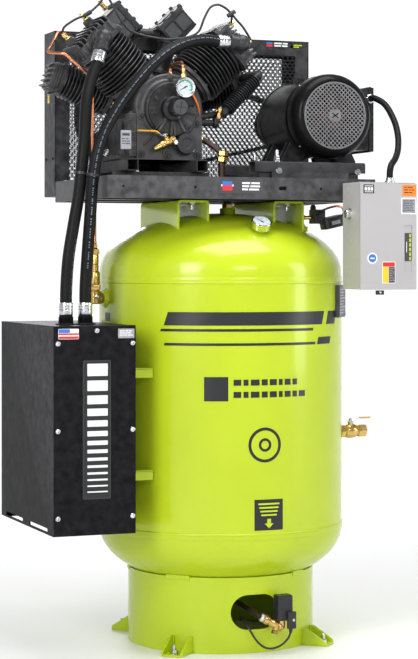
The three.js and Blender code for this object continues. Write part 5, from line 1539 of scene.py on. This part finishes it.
# ---------- intercooler ----------
ic_a, ic_b = V(24, 24, 1655), V(150, 50, 1775)
cooler = aim(ic_a, ic_b - ic_a)
long = (ic_b - ic_a).length
profile = [(0, 0), (15, 0), (15, 8)]
for i in range(17):
    z = 12 + i * (long - 26) / 17
    profile += [(15, z), (23.6, z + 0.4), (24, z + 1.2), (23.6, z + 2), (15, z + 2.4)]
profile += [(15, long - 4), (15, long), (0, long)]
s = Shells().at(cooler).lathe(profile, 48).at()
hpr = spoke(HP_ANGLE, 1, HP_ROW)
ic_top = hpr @ V(-10, -42.4, HP_TOP + 27)
s.tube(smooth_line([ic_b.lerp(ic_a, 0.03), V(158, 62, 1783), ic_top + V(-1, -34, 4),
                    ic_top + V(0, -14, 0), ic_top]), 11, 20)
s.at(aim(ic_top, V(0, -1, 0))).lathe([(0, 0.5), (18, 0.5), (18, 11), (15, 14), (0, 14)], 6).at()
s.rod(ic_a.lerp(ic_b, 0.02), V(12, 24, 1644), 16, sides=28, edge=2)
s.rod(V(14, 24, 1646), V(-72, 24, 1637), 11, sides=24)
s.at(aim(V(-76, 24, 1637), V(1, 0, 0.1))).lathe([(0, 2), (19, 2), (19, 13), (16, 16), (0, 16)], 6).at()
make("intercooler_finned_tube", s, [CAST], replaces=["intercooler_tube"], soft=50)

# ---------- intake elbows ----------
for hand, port, out in (("left", port_left, exit_left), ("right", port_right, exit_right)):
    mid = port + ELBOW_DROP
    s = Shells().at(aim(port, V(0, -1, 0)))
    s.lathe([(0, 0), (27, 0), (27, 7), (24.5, 9), (24.5, 38), (0, 38)], 40)
    s.at(Matrix.Translation(mid))
    ball = [(27 * math.cos(a), 27 * math.sin(a)) for a in [math.pi / 2 * i / 10 for i in range(-10, 11)]]
    s.lathe([(max(r, 0) if 0 < i < 20 else 0, z) for i, (r, z) in enumerate(ball)], 40)
    s.at(aim(mid, out))
    s.lathe([(0, 4), (22, 4), (22, 30), (25, 32), (25, 41), (22, 43), (17, 48), (0, 48)], 40)
    s.at()
    make("intake_elbow_casting_" + hand, s, [PLASTIC], replaces=["intake_elbow_" + hand],
         soft=50)


# ---------- gauges ----------
def figures(s, text, place, size):
    """Adds dial numbers as thin raised shapes."""
    curve = bpy.data.curves.new("figures", "FONT")
    curve.body = text
    curve.size = size
    curve.extrude = 0.08
    curve.align_x, curve.align_y = "CENTER", "CENTER"
    piece = bpy.data.objects.new("figures", curve)
    bpy.context.scene.collection.objects.link(piece)
    bpy.context.view_layer.update()
    mesh = bpy.data.meshes.new_from_object(piece.evaluated_get(bpy.context.evaluated_depsgraph_get()))
    s.at(place).add([v.co.copy() for v in mesh.vertices], [tuple(p.vertices) for p in mesh.polygons])
    bpy.data.objects.remove(piece)


def dial(s, place, r, start, sweep, numbers, size):
    """White dial with ticks and numbers; angles run clockwise from start, in degrees, seen from the front."""
    s.at(place).paint(0).lathe([(0, 0), (r, 0), (r, 0.5), (0, 0.5)], 60)
    s.paint(1)
    count = (len(numbers) - 1) * 5
    for i in range(count + 1):
        a = math.radians(start - sweep * i / count)
        inner = 0.82 if i % 5 == 0 else 0.88
        s.at(place @ Matrix.Rotation(a, 4, "Z")).box(r * inner, r * 0.94, -0.22, 0.22, 0.45, 0.6)
    for i, number in enumerate(numbers):
        a = math.radians(start - sweep * i / (len(numbers) - 1))
        figures(s, number, place @ moved(r * 0.66 * math.cos(a), r * 0.66 * math.sin(a), 0.5), size)
    s.at(place)


OIL = V(-166, 0, 1714)
face = facing_front(OIL.x, -127.2, OIL.z)
s = Shells().at(face)
s.lathe([(0, -21), (26, -21), (31, -18), (32, -14), (32, 2), (31.4, 4.4), (29, 5), (26.6, 3.4), (26, 0),
         (0, 0)], 72)
s.paint(1).at(aim(V(-167, -117, 1742), V(-0.08, 0, 1)))
s.lathe([(0, 0), (9, 0), (9, 12), (0, 12)], 6)
s.lathe([(0, 10), (6, 10), (6, 20), (7.5, 21), (7.5, 30), (5, 32), (0, 32)], 24)
s.paint(2).at()
s.tube(smooth_line([V(-170.4, -117, 1774), V(-171.5, -115, 1788), V(-174, -98, 1792), V(-178, -60, 1790),
                    V(-179, -34, 1784), V(-180, -28, 1764)]), 5, 16)
s.paint(1).at(aim(V(-180, -28, 1756), V(0, 0, 1))).lathe([(0, 0), (9, 0), (9, 10), (6.5, 12), (0, 12)], 6)
make("oil_gauge_case", s.at(), [CHROME, BRASS, COPPER], replaces=["oil_gauge"])
s = Shells()
dial(s, face, 26, 210, 240, ["0", "20", "40", "60", "80", "100"], 5)
s.paint(2)
arc0, arc1 = math.radians(-30), math.radians(180)
s.prism(circle(0, 0, 19.4, 48, arc0, arc1) + circle(0, 0, 23.6, 48, arc0, arc1)[::-1], 0.42, 0.58)
make("oil_gauge_dial", s.at(), [DIAL, INK, GREEN_INK])
orange_line = [V(-146, -100, 1712), V(-128, -92, 1694), V(-112, -84, 1672), V(-98, -66, 1650),
               V(-92, -50, 1640)]
s = Shells().tube(smooth_line(orange_line), 3.2, 12)
make("orange_sense_tube", s, [ORANGE])
axis = Vector((-0.02, -0.54, 0.84)).normalized()
base = V(20, -272, dome_height(20, -272) - 6)
tip_way = V(1, 0, 0).cross(axis) * -1 + V(-0.7, 0, 0)
tip_way = (tip_way - axis * tip_way.dot(axis)).normalized()
tank_face = basis(base + axis * 36.2, tip_way, axis.cross(tip_way), axis)
s = Shells().at(tank_face)
s.lathe([(0, -21.5), (26, -21.5), (30, -19), (30.2, -2), (31, 0), (31, 2.4), (30, 3.8), (28.4, 3.8),
         (27, 2.6), (26.6, 0), (0, 0)], 72)
s.paint(1).lathe([(0, -38), (12, -38), (12, -28), (9, -26), (9, -21), (0, -21)], 6)
make("tank_gauge_case", s.at(), [CHROME, BRASS], replaces=["tank_gauge"])
s = Shells()
dial(s, tank_face, 26.6, 0, 270, ["0", "50", "100", "150", "200", "250"], 5)
make("tank_gauge_dial", s.at(), [DIAL, INK])
for name, place, length, body in (
        ("oil_gauge_pointer", facing_front(OIL.x, -128.6, OIL.z) @ turned(210.2, "Z"), 21, "oil_needle"),
        ("tank_gauge_pointer", tank_face @ moved(0, 0, 1.4), 19, "tank_needle")):
    s = Shells().at(place)
    s.prism([(-8, -1.8), (-5, -2), (0, -1.5), (length, -0.4), (length, 0.4), (0, 1.5), (-5, 2),
             (-8, 1.8)], -0.25, 0.35)
    s.lathe([(0, -0.6), (2.8, -0.6), (2.8, 0.6), (2.2, 1), (0, 1)], 24)
    node = "oil_gauge_needle" if body == "oil_needle" else "tank_gauge_needle"
    make(name, s.at(), [INK], body=body, replaces=[node])


# ---------- valves ----------
def lever_strap(s, line, half, thick):
    """A bent flat strap: line is [x, z] points in local x and z, half is half its width in local y."""
    above, below = [], []
    for i, (x, z) in enumerate(line):
        a, b = line[max(i - 1, 0)], line[min(i + 1, len(line) - 1)]
        dx, dz = b[0] - a[0], b[1] - a[1]
        size = math.hypot(dx, dz)
        nx, nz = -dz / size * thick / 2, dx / size * thick / 2
        above.append((x + nx, z + nz))
        below.append((x - nx, z - nz))
    held = s.place
    s.place = held @ turned(90, "X")
    s.prism(above + below[::-1], -half, half)
    s.place = held


OUTLET = V(398.4, 0, 634)
s = Shells().at(aim(OUTLET, V(1, 0, 0)))
threads = [(13.6 if i % 2 else 14.6, 0.2 + i * 1.4) for i in range(11)]
s.lathe([(0, 0.2), *threads, (0, 16)], 36)
s.lathe([(0, 15), (20, 15), (22, 17), (22, 30), (20, 32), (0, 32)], 6)
s.lathe([(0, 30), (17, 30), (21, 35), (23, 44), (23.4, 52), (23, 60), (21, 68), (17, 76), (0, 76)], 48)
s.lathe([(12, 75), (20, 75), (22, 77), (22, 103), (20.5, 105.2), (14, 105.2), (12, 103), (12, 75)], 6)
s.lathe([(12, 74), (18, 74), (18, 90), (12, 90), (12, 74)], 36)
s.at(aim(V(452, 0, 652), V(0, 0, 1)))
s.lathe([(0, -4), (12, -4), (12, 3), (9, 5), (9, 11.6), (0, 11.6)], 32)
s.paint(1).lathe([(0, 5), (10.5, 5), (10.5, 11.8), (0, 11.8)], 6)
make("outlet_valve_brass", s.at(), [BRASS, ZINC], replaces=["outlet_valve"], bevel=0.5)
s = Shells().at(moved(452, 0, 0))
lever_strap(s, [(-11, 666), (9, 666), (13, 668), (20, 674.5), (24, 676), (40, 676)], 9, 2.6)
s.lathe([(0, 667), (7, 667), (7, 672.5), (0, 672.5)], 6)
s.lathe([(0, 672), (3.6, 672), (3.6, 676), (0, 676)], 16)
s.paint(1)
s.at(basis(V(452, 0, 676), V(1, 0, 0), V(0, 1, 0), V(0, 0, 1)))
s.prism(rounded(28, 70, -9.8, 9.8, 6, 6), -2.6, 2.6)
make("outlet_valve_handle", s.at(), [ZINC, BRASS], body="outlet_handle", replaces=["outlet_lever"],
     bevel=0.8, segments=3)

DV_AWAY = V(-0.88, 0, -0.47).normalized()
DV_UP = V(-0.47, 0, 0.88).normalized()
DV = V(-200, -92, 1552)
s = Shells().at(aim(V(DV.x, CASE_FRONT - 0.4, DV.z), V(0, -1, 0)))
s.lathe([(0, 0), (15, 0), (15, 9), (12, 11), (8, 12), (8, 37), (0, 37)], 6)
s.at(aim(DV - DV_AWAY * 14, DV_AWAY))
s.lathe([(0, 0), (11, 0), (13, 2), (13, 12), (11, 14), (13.5, 18), (14, 26), (13, 34), (11, 38), (13, 40),
         (13, 50), (11, 52), (0, 52)], 30)
s.lathe([(5, 50), (9.5, 50), (9.5, 72), (8.2, 74.5), (5, 74.5), (5, 50)], 24)
s.at(aim(DV + DV_AWAY * 10, DV_UP)).lathe([(0, 8), (8, 8), (8, 15), (5, 17), (5, 22), (0, 22)], 24)
s.paint(1).at(aim(V(DV.x + 10, -105, DV.z - 6), V(0.25, -1, 0)))
s.lathe([(0, -10), (9, -10), (9, 3), (7.5, 5), (0, 5)], 6)
make("oil_drain_valve_brass", s.at(), [BRASS, ZINC], replaces=["oil_drain_valve"], bevel=0.4)
s = Shells().at(basis(DV + DV_AWAY * 10, DV_AWAY, DV_UP.cross(DV_AWAY), DV_UP))
path = [(-8, 23.7), (6, 23.7), (9, 26), (18, 44), (23, 49)]
end = (22 + 55 * 0.88, 49 + 55 * 0.47)
lever_strap(s, [*path, (27, 51.3)], 6, 2.4)
s.lathe([(0, 24.6), (6, 24.6), (6, 29), (0, 29)], 6)
s.paint(1)
lever_strap(s, [(15, 38), (18.4, 44), (23, 49), end], 7.4, 4.6)
make("oil_drain_handle_strap", s.at(), [ZINC, YELLOW], body="oil_drain_handle",
     replaces=["oil_drain_lever"], bevel=0.7, segments=3)

# check valve stack on the left port of the tank
s = Shells().at(aim(V(-390.4, 0, 1068), V(-1, 0, 0)))
s.lathe([(0, 0.2), (17, 0.2), (17, 4), (20, 5), (20, 20), (0, 20)], 6)
s.at(aim(V(-414, 0, 1048), V(0, 0, 1)))
s.lathe([(0, 2), (17, 2), (19, 4), (19, 40), (17, 42), (14, 43), (14, 48), (0, 48)], 48)
s.lathe([(0, 46), (17, 46), (18, 48), (18, 60), (17, 62), (0, 62)], 6)
s.lathe([(0, 60), (13, 60), (15, 64), (15, 98), (13, 102), (0, 102)], 40)
s.lathe([(0, 100), (11, 100), (11, 122), (9.5, 124), (11, 126), (11, 150), (9, 157), (0, 157)], 32)
s.lathe([(0, 155), (14, 155), (14, 170), (11, 173), (7, 175), (7, 180), (0, 180)], 6)
s.paint(1).at(aim(V(-414, -18, 1073), V(0, -1, 0))).lathe([(0, 0), (7, 0), (7, 6), (4, 8), (0, 8)], 6)
make("check_valve_brass", s.at(), [BRASS, ZINC], replaces=["check_valve"], bevel=0.3)

# relief valve on the left header box, with its pull ring
left_box = Matrix.Translation(spoke(BOX_ANGLE, -1, BOX_ROW) @ V(0, 0, 298)) @ turned(45, "Y")
rv_a, rv_b = left_box @ V(-59.4, 0, 8), left_box @ V(-60.4, 0, 8)
s = Shells().at(aim(rv_a, rv_b - rv_a))
s.lathe([(0, 0), (10, 0), (10, 9), (8, 11), (0, 11)], 6)
s.lathe([(0, 10), (7, 10), (7, 20), (8, 21), (8, 30), (6.5, 32), (3, 33), (3, 36), (0, 36)], 28)
s.at(aim(rv_a, rv_b - rv_a) @ turned(90, "X") @ moved(0, 34, 0))
turns = [2 * math.pi * i / 24 for i in range(25)]
s.tube([V(7 * math.cos(a), 7 * math.sin(a) - 4, 0) for a in turns], 0.9, 8)
make("relief_valve_brass", s.at(), [BRASS], replaces=["relief_valve"], bevel=0.2)

# fitting with a tee at the lower right of the pump, and a small loose one at its left
s = Shells()
s.at(aim(V(-88, 0, 1616), V(1, -0.05, 0))).paint(1)
s.lathe([(0, 0), (11, 0), (11, 60), (8, 62), (8, 74), (0, 74)], 8)
s.lathe([(0, 62), (16, 62), (17, 64), (17, 72), (16, 74), (0, 74)], 32)
s.at(aim(V(-14, -4, 1616), V(0.25, 0.1, 1))).lathe([(0, 0), (9, 0), (9, 14), (0, 14)], 20)
s.paint(0).lathe([(0, 14), (11, 14), (11, 24), (8, 26), (8, 34), (10, 36), (10, 48), (7, 50), (0, 50)], 6)
s.at(aim(V(-6, -2, 1652), V(-1, -0.3, 0.2))).lathe([(0, 0), (6, 0), (6, 13), (4, 15), (0, 15)], 6)
s.at(aim(V(-372, -40, 1650), V(0.3, -0.4, 1)))
s.lathe([(0, 0), (8, 0), (8, 6), (5, 8), (5, 13), (7, 14), (7, 20), (0, 20)], 6)
make("oil_line_fitting", s.at(), [BRASS, PLASTIC], bevel=0.3)

# unloader lines: copper from the check valve, and a thin black tube over the top
lp_left, lp_right = spoke(LP_ANGLE, -1, LP_ROW), spoke(LP_ANGLE, 1, LP_ROW)
cap_tip = LP_TOP + 96.6
copper_path = [
    V(-414, 0, 1228.4), V(-414, 0, 1300), V(-414, 0, 1420), V(-424, -14, 1490), V(-431, -26, 1540),
    V(-440, -56, 1670), V(-450, -70, 1715), V(-463, -79, 1748), V(-486, -84, 1766), V(-510, -85, 1784),
    V(-534, -82, 1804), V(-542, -79, 1807), V(-568, -52, 1811), V(-576, -40, 1815), V(-560, -14, 1835),
    V(-538, 18, 1861), V(-520, 40, 1884), lp_left @ V(-42, 20, LP_TOP + 106), lp_left @ V(-42, 20, cap_tip),
]
s = Shells().tube(smooth_line(copper_path), 4, 16)
s.paint(1)
for p, out in ((V(-414, 0, 1226), V(0, 0, 1)),
               (lp_left @ V(-42, 20, cap_tip - 2), lp_left.to_3x3() @ V(0, 0, 1))):
    s.at(aim(p, out)).lathe([(0, 0), (8, 0), (8, 8), (6, 10), (6, 16), (0, 16)], 6)
make("unloader_copper_line", s.at(), [COPPER, BRASS], replaces=["unloader_line"])
tips = [lp_left @ V(42, 20, cap_tip), lp_right @ V(-42, 20, cap_tip)]
outs = [lp_left.to_3x3() @ V(0, 0, 1), lp_right.to_3x3() @ V(0, 0, 1)]
ceiling = cad_high.z * 1000 - 9
far_tips = [lp_left @ V(-42, 20, cap_tip), lp_right @ V(42, 20, cap_tip)]
over = [far_tips[0] + outs[0] * 14, V(-504, 30, 1900), V(-470, 26, 1925), V(-432, 22, 1943),
        V(-400, 20, 1970), V(-372, 20, ceiling - 2), V(-348, 18, 1968), V(-323, 14, 1924),
        V(-298, 10, 1898), V(-260, 8, 1884), V(-221, 8, 1878), V(-178, 8, 1874), V(-138, 8, 1878),
        V(-100, 10, 1886), V(-68, 14, 1904), V(-46, 18, 1950), V(-24, 20, 1984), V(0, 20, 1992),
        V(26, 20, 1982), V(46, 22, 1966), V(66, 24, 1946), V(88, 28, 1926), far_tips[1] + outs[1] * 16]
over = [V(p.x, p.y, min(p.z, ceiling)) for p in over]
s = Shells().tube(smooth_line(over), 3.6, 14)
for at_point, tip in ((over[3], tips[0]), (over[19], tips[1])):
    s.tube([at_point, at_point.lerp(tip, 0.5) + V(0, -4, 2), tip], 3.6, 12)
    s.at(aim(at_point - V(12, 0, 8), V(12, 0, 8))).lathe([(0, 0), (7, 0), (7, 28), (0, 28)], 16).at()
s.paint(1)
for tip, out in zip([*tips, far_tips[1]], [*outs, outs[1]]):
    s.at(aim(tip - out * 2, out)).lathe([(0, 0), (6.6, 0), (6.6, 7), (5, 9), (5, 16), (0, 16)], 6)
make("unloader_black_line", s.at(), [PLASTIC, BRASS])

# discharge pipe from the pump through the deck to the tank
px, py = PIPE_DOWN
s = Shells().paint(2).tube(smooth_line([V(-82.4, -20, 1562), V(-68, -20, 1561), V(-48, -28, 1549),
                                        V(-28, -44, 1530), V(px, py, 1512)]), 9, 24)
s.tube(smooth_line([V(px, py, 1500), V(px, py, 1440), V(px, py, 1400), V(px + 8, py - 4, 1376),
                    V(0, -60, 1358), V(0, -60, 1346.8)]), 11, 24)
s.paint(1).at(aim(V(px, py, 1490), V(0.1, 0, 1)))
s.lathe([(0, 0), (15, 0), (17, 2), (17, 16), (15, 18), (12, 19), (17, 21), (17, 34), (14, 36), (0, 36)], 6)
s.at(aim(V(-84, -20, 1562), V(1, 0, 0))).lathe([(0, 2), (15, 2), (15, 12), (12, 14), (0, 14)], 6)
s.at(aim(V(0, -60, 1346.8), V(0, 0, 1))).lathe([(0, 0), (18, 0), (18, 12), (15, 14), (0, 14)], 6)
make("discharge_tube", s.at(), [COPPER, BRASS, DARK_COPPER], replaces=["discharge_pipe"],
     bevel=0.3)

# pressure switch on its pipe
s = Shells()
s.at(aim(V(226, -120, 1272), V(0, 0, 1))).paint(1)
s.lathe([(0, 0), (9, 0), (9, 10), (13, 11), (13, 24), (9, 26), (9, 40), (12.5, 42), (12.5, 54), (0, 54)], 6)
s.at().tube(smooth_line([V(226, -120, 1318), V(250, -128, 1318), V(280, -139, 1318)]), 6, 16)
s.at(aim(V(262, -132, 1318), V(0.95, -0.3, 0))).lathe([(0, 0), (10, 0), (10, 9), (8, 11), (0, 11)], 6)
s.paint(0).at().box(252, 288, -164, -120, 1299, 1343)
s.at(aim(V(270, -164, 1322), V(0, -1, 0)))
s.lathe([(0, 0), (14, 0), (14, 8), (11, 10), (11, 15), (0, 15)], 6)
s.at(aim(V(256, -142, 1343), V(0, 0, 1))).lathe([(0, 0), (10, 0), (10, 9), (7, 11), (7, 16), (0, 16)], 6)
s.at(moved(317, -150, 1304) @ turned(-13, "Y"))
s.prism(rounded(-33, 33, -27, 27, 7), -17, 13)
s.prism(rounded(-35, 35, -28.5, 28.5, 8), 12, 18)
s.prism(rounded(-30, 28, -29, 29, 6), -10, 8)
s.paint(2).box(-14, 16, -30, -28, -7, 5)
s.at(aim(V(347, -150, 1312), V(1, 0, 0.25))).paint(0)
s.lathe([(0, 0), (13, 0), (13, 8), (11, 9), (11, 16), (0, 16)], 24)
s.paint(3).at()
s.tube(smooth_line([V(282, -150, 1340), V(310, -152, 1350), V(338, -150, 1354), V(356, -146, 1348),
                    V(360, -144, 1334), V(352, -146, 1322)]), 3.4, 12)
make("pressure_switch_case", s.at(), [PLASTIC, BRASS, SILVER, COPPER], replaces=["pressure_switch"],
     bevel=1.2, segments=3)

# condensate drain: pipe from the bottom head, angled brass body with its nozzle, coil with its connector
s = Shells().paint(1)
s.tube(smooth_line([V(0, -4, 160), V(-2, -30, 142), V(-2, -80, 134), V(0, -180, 126), V(5, -280, 115),
                    V(14, -306, 109)]), 9, 20)
body_a, body_b = V(11, -312, 110), V(80, -318, 75)
s.paint(2).at(aim(body_a - (body_b - body_a) * 0.08, body_b - body_a))
s.lathe([(0, 0), (12, 0), (13.5, 2), (13.5, 12), (11, 14), (0, 14)], 8)
s.paint(0).at(aim(body_a + (body_b - body_a) * 0.1, body_b - body_a))
s.lathe([(0, 0), (14, 0), (15, 2), (15, 13), (12, 16), (12, 22), (14.5, 26), (14.5, 46), (12, 49),
         (15, 52), (15, 64), (13, 68), (9, 68), (9, 60), (0, 60)], 36)
s.at(aim(V(56, -318, 88), V(-0.28, -0.1, -1)))
s.lathe([(0, 0), (10, 0), (10, 16), (8, 19), (10.5, 21), (10.5, 30), (6, 30), (6, 24), (0, 24)], 6)
s.at(aim(V(74, -320, 76), V(0, 0, 1))).lathe([(0, 0), (12, 0), (12, 24), (0, 24)], 30)
s.at(aim(V(76, -320, 176), V(0, 0, 1))).paint(2).lathe([(0, -3), (8, -3), (8, -1.2), (6, 0), (0, 0)], 6)
make("drain_valve_brass", s.at(), [BRASS, DARK_COPPER, ZINC], replaces=["drain_valve"],
     bevel=0.5)
s = Shells().at(basis(V(77, -320, 0), V(1, 0, 0), V(0, 1, 0), V(0, 0, 1)))
s.prism(rounded(-24, 24, -21, 21, 5, 5), 102, 174)
s.prism(rounded(-22, 22, -19, 19, 4, 5), 100, 176)
for z in (112, 124, 136, 148, 160):
    s.prism(rounded(-24.6, 24.6, -21.6, 21.6, 5, 5), z - 1.4, z + 1.4)
s.at().prism(rounded(80, 106, -356, -340, 3, 4), 78, 128)
s.prism(rounded(82, 104, -357.5, -340, 3, 4), 86, 116)
s.paint(1).at(aim(V(96, -357.4, 104), V(0, -1, 0))).lathe([(0, 0), (4.5, 0), (4, 1.2), (0, 1.4)], 20)
s.paint(0).at(aim(V(90, -348, 78.4), V(0, 0, -1)))
s.lathe([(0, -4), (7, -4), (6, 6), (3.6, 14), (3.4, 14.4), (0, 14.4)], 24)
s.at(aim(V(-24, -236, 96), V(0, -1, -0.1)))
s.lathe([(0, -6), (7, -6), (7, 4), (4, 12), (0, 12)], 20)
make("drain_coil", s.at(), [PLASTIC, ZINC], bevel=0.9)


# ---------- materials of the CAD nodes that stay in view ----------
LOOK_OF_SLOT = {
    "lime_paint": LIME, "black_paint": BLACK, "cast_black": CAST, "steel": STEEL, "bright_metal": ZINC,
    "brass": BRASS, "copper": COPPER, "aluminium": ALLOY, "rubber": RUBBER, "starter_grey": GREY,
    "yellow_grip": YELLOW, "black_plastic": PLASTIC, "filter_media": PAPER,
}
for subpart in frame["record"]["subparts"]:
    mesh = frame["nodes"][subpart["node"]].data
    mesh.materials.clear()
    mesh.materials.append(LOOK_OF_SLOT[subpart["material_slot"]])


# ---------- floor and light ----------
floor_mesh = bpy.data.meshes.new("floor")
floor_mesh.from_pydata([(-30, -30, 0), (30, -30, 0), (30, 30, 0), (-30, 30, 0)], [], [(0, 1, 2, 3)])
floor_mesh.materials.append(surface("pale_floor", (0.86, 0.86, 0.86), 0.5, shade=0.01, grain=60,
                                    bump=0.01, broad=0.6))
floor = bpy.data.objects.new("floor", floor_mesh)
bpy.context.scene.collection.objects.link(floor)
floor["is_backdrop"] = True

world = bpy.data.worlds.new("studio")
bpy.context.scene.world = world
world.use_nodes = True
nodes, links = world.node_tree.nodes, world.node_tree.links
SKY_DIM, SKY_BRIGHT = 0.36, 1.1
GLOW_START, GLOW_END, GLOW = 1, 6, 0.6
sky = nodes["Background"]
toward = nodes.new("ShaderNodeTexCoord").outputs["Generated"]
parts = nodes.new("ShaderNodeSeparateXYZ")
links.new(toward, parts.inputs["Vector"])


def band(tree, value, start, end, low, high):
    """A smooth step in a node tree, from low at start to high at end."""
    node = tree.nodes.new("ShaderNodeMapRange")
    node.interpolation_type = "SMOOTHSTEP"
    for socket, number in zip(("From Min", "From Max", "To Min", "To Max"), (start, end, low, high)):
        node.inputs[socket].default_value = number
    tree.links.new(value, node.inputs["Value"])
    return node.outputs["Result"]


def far_glow(look):
    """Brightens the floor far from the object, so that it meets the backdrop without a grey band."""
    tree = look.node_tree
    away = tree.nodes.new("ShaderNodeVectorMath")
    away.operation = "LENGTH"
    tree.links.new(tree.nodes.new("ShaderNodeTexCoord").outputs["Object"], away.inputs[0])
    shader = tree.nodes["Principled BSDF"]
    shader.inputs["Emission Color"].default_value = (1, 1, 1, 1)
    glow = band(tree, away.outputs["Value"], GLOW_START, GLOW_END, 0, GLOW)
    tree.links.new(glow, shader.inputs["Emission Strength"])


both = nodes.new("ShaderNodeMath")
both.operation = "MULTIPLY"
links.new(band(world.node_tree, parts.outputs["Y"], 0.2, 0.75, 0, 1), both.inputs[0])
links.new(band(world.node_tree, parts.outputs["Z"], 0.2, 0.5, 1, 0), both.inputs[1])
sky.inputs["Color"].default_value = (0.97, 0.98, 1.0, 1)
links.new(band(world.node_tree, both.outputs[0], 0, 1, SKY_DIM, SKY_BRIGHT), sky.inputs["Strength"])
far_glow(floor_mesh.materials[0])


def softbox(name, place, target, width, height, power):
    data = bpy.data.lights.new(name, "AREA")
    data.shape = "RECTANGLE"
    data.size, data.size_y = width, height
    data.energy = power
    lamp = bpy.data.objects.new(name, data)
    bpy.context.scene.collection.objects.link(lamp)
    lamp.location = place
    lamp.rotation_euler = (Vector(target) - Vector(place)).to_track_quat("-Z", "Y").to_euler()


softbox("key_left", (-3.4, -3.0, 2.6), (0, 0, 1.1), 1.4, 2.6, 128)
softbox("fill_right", (3.6, -2.4, 1.9), (0, 0, 1.0), 1.0, 2.6, 50)
softbox("top", (0.2, -0.6, 4.2), (0, 0, 1.2), 2.4, 2.0, 96)
softbox("front", (0.1, -3.9, 2.3), (0, 0, 1.15), 1.2, 0.5, 26)
softbox("rear", (1.2, 3.8, 2.8), (0, 0, 1.2), 2.4, 1.8, 60)

low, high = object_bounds()
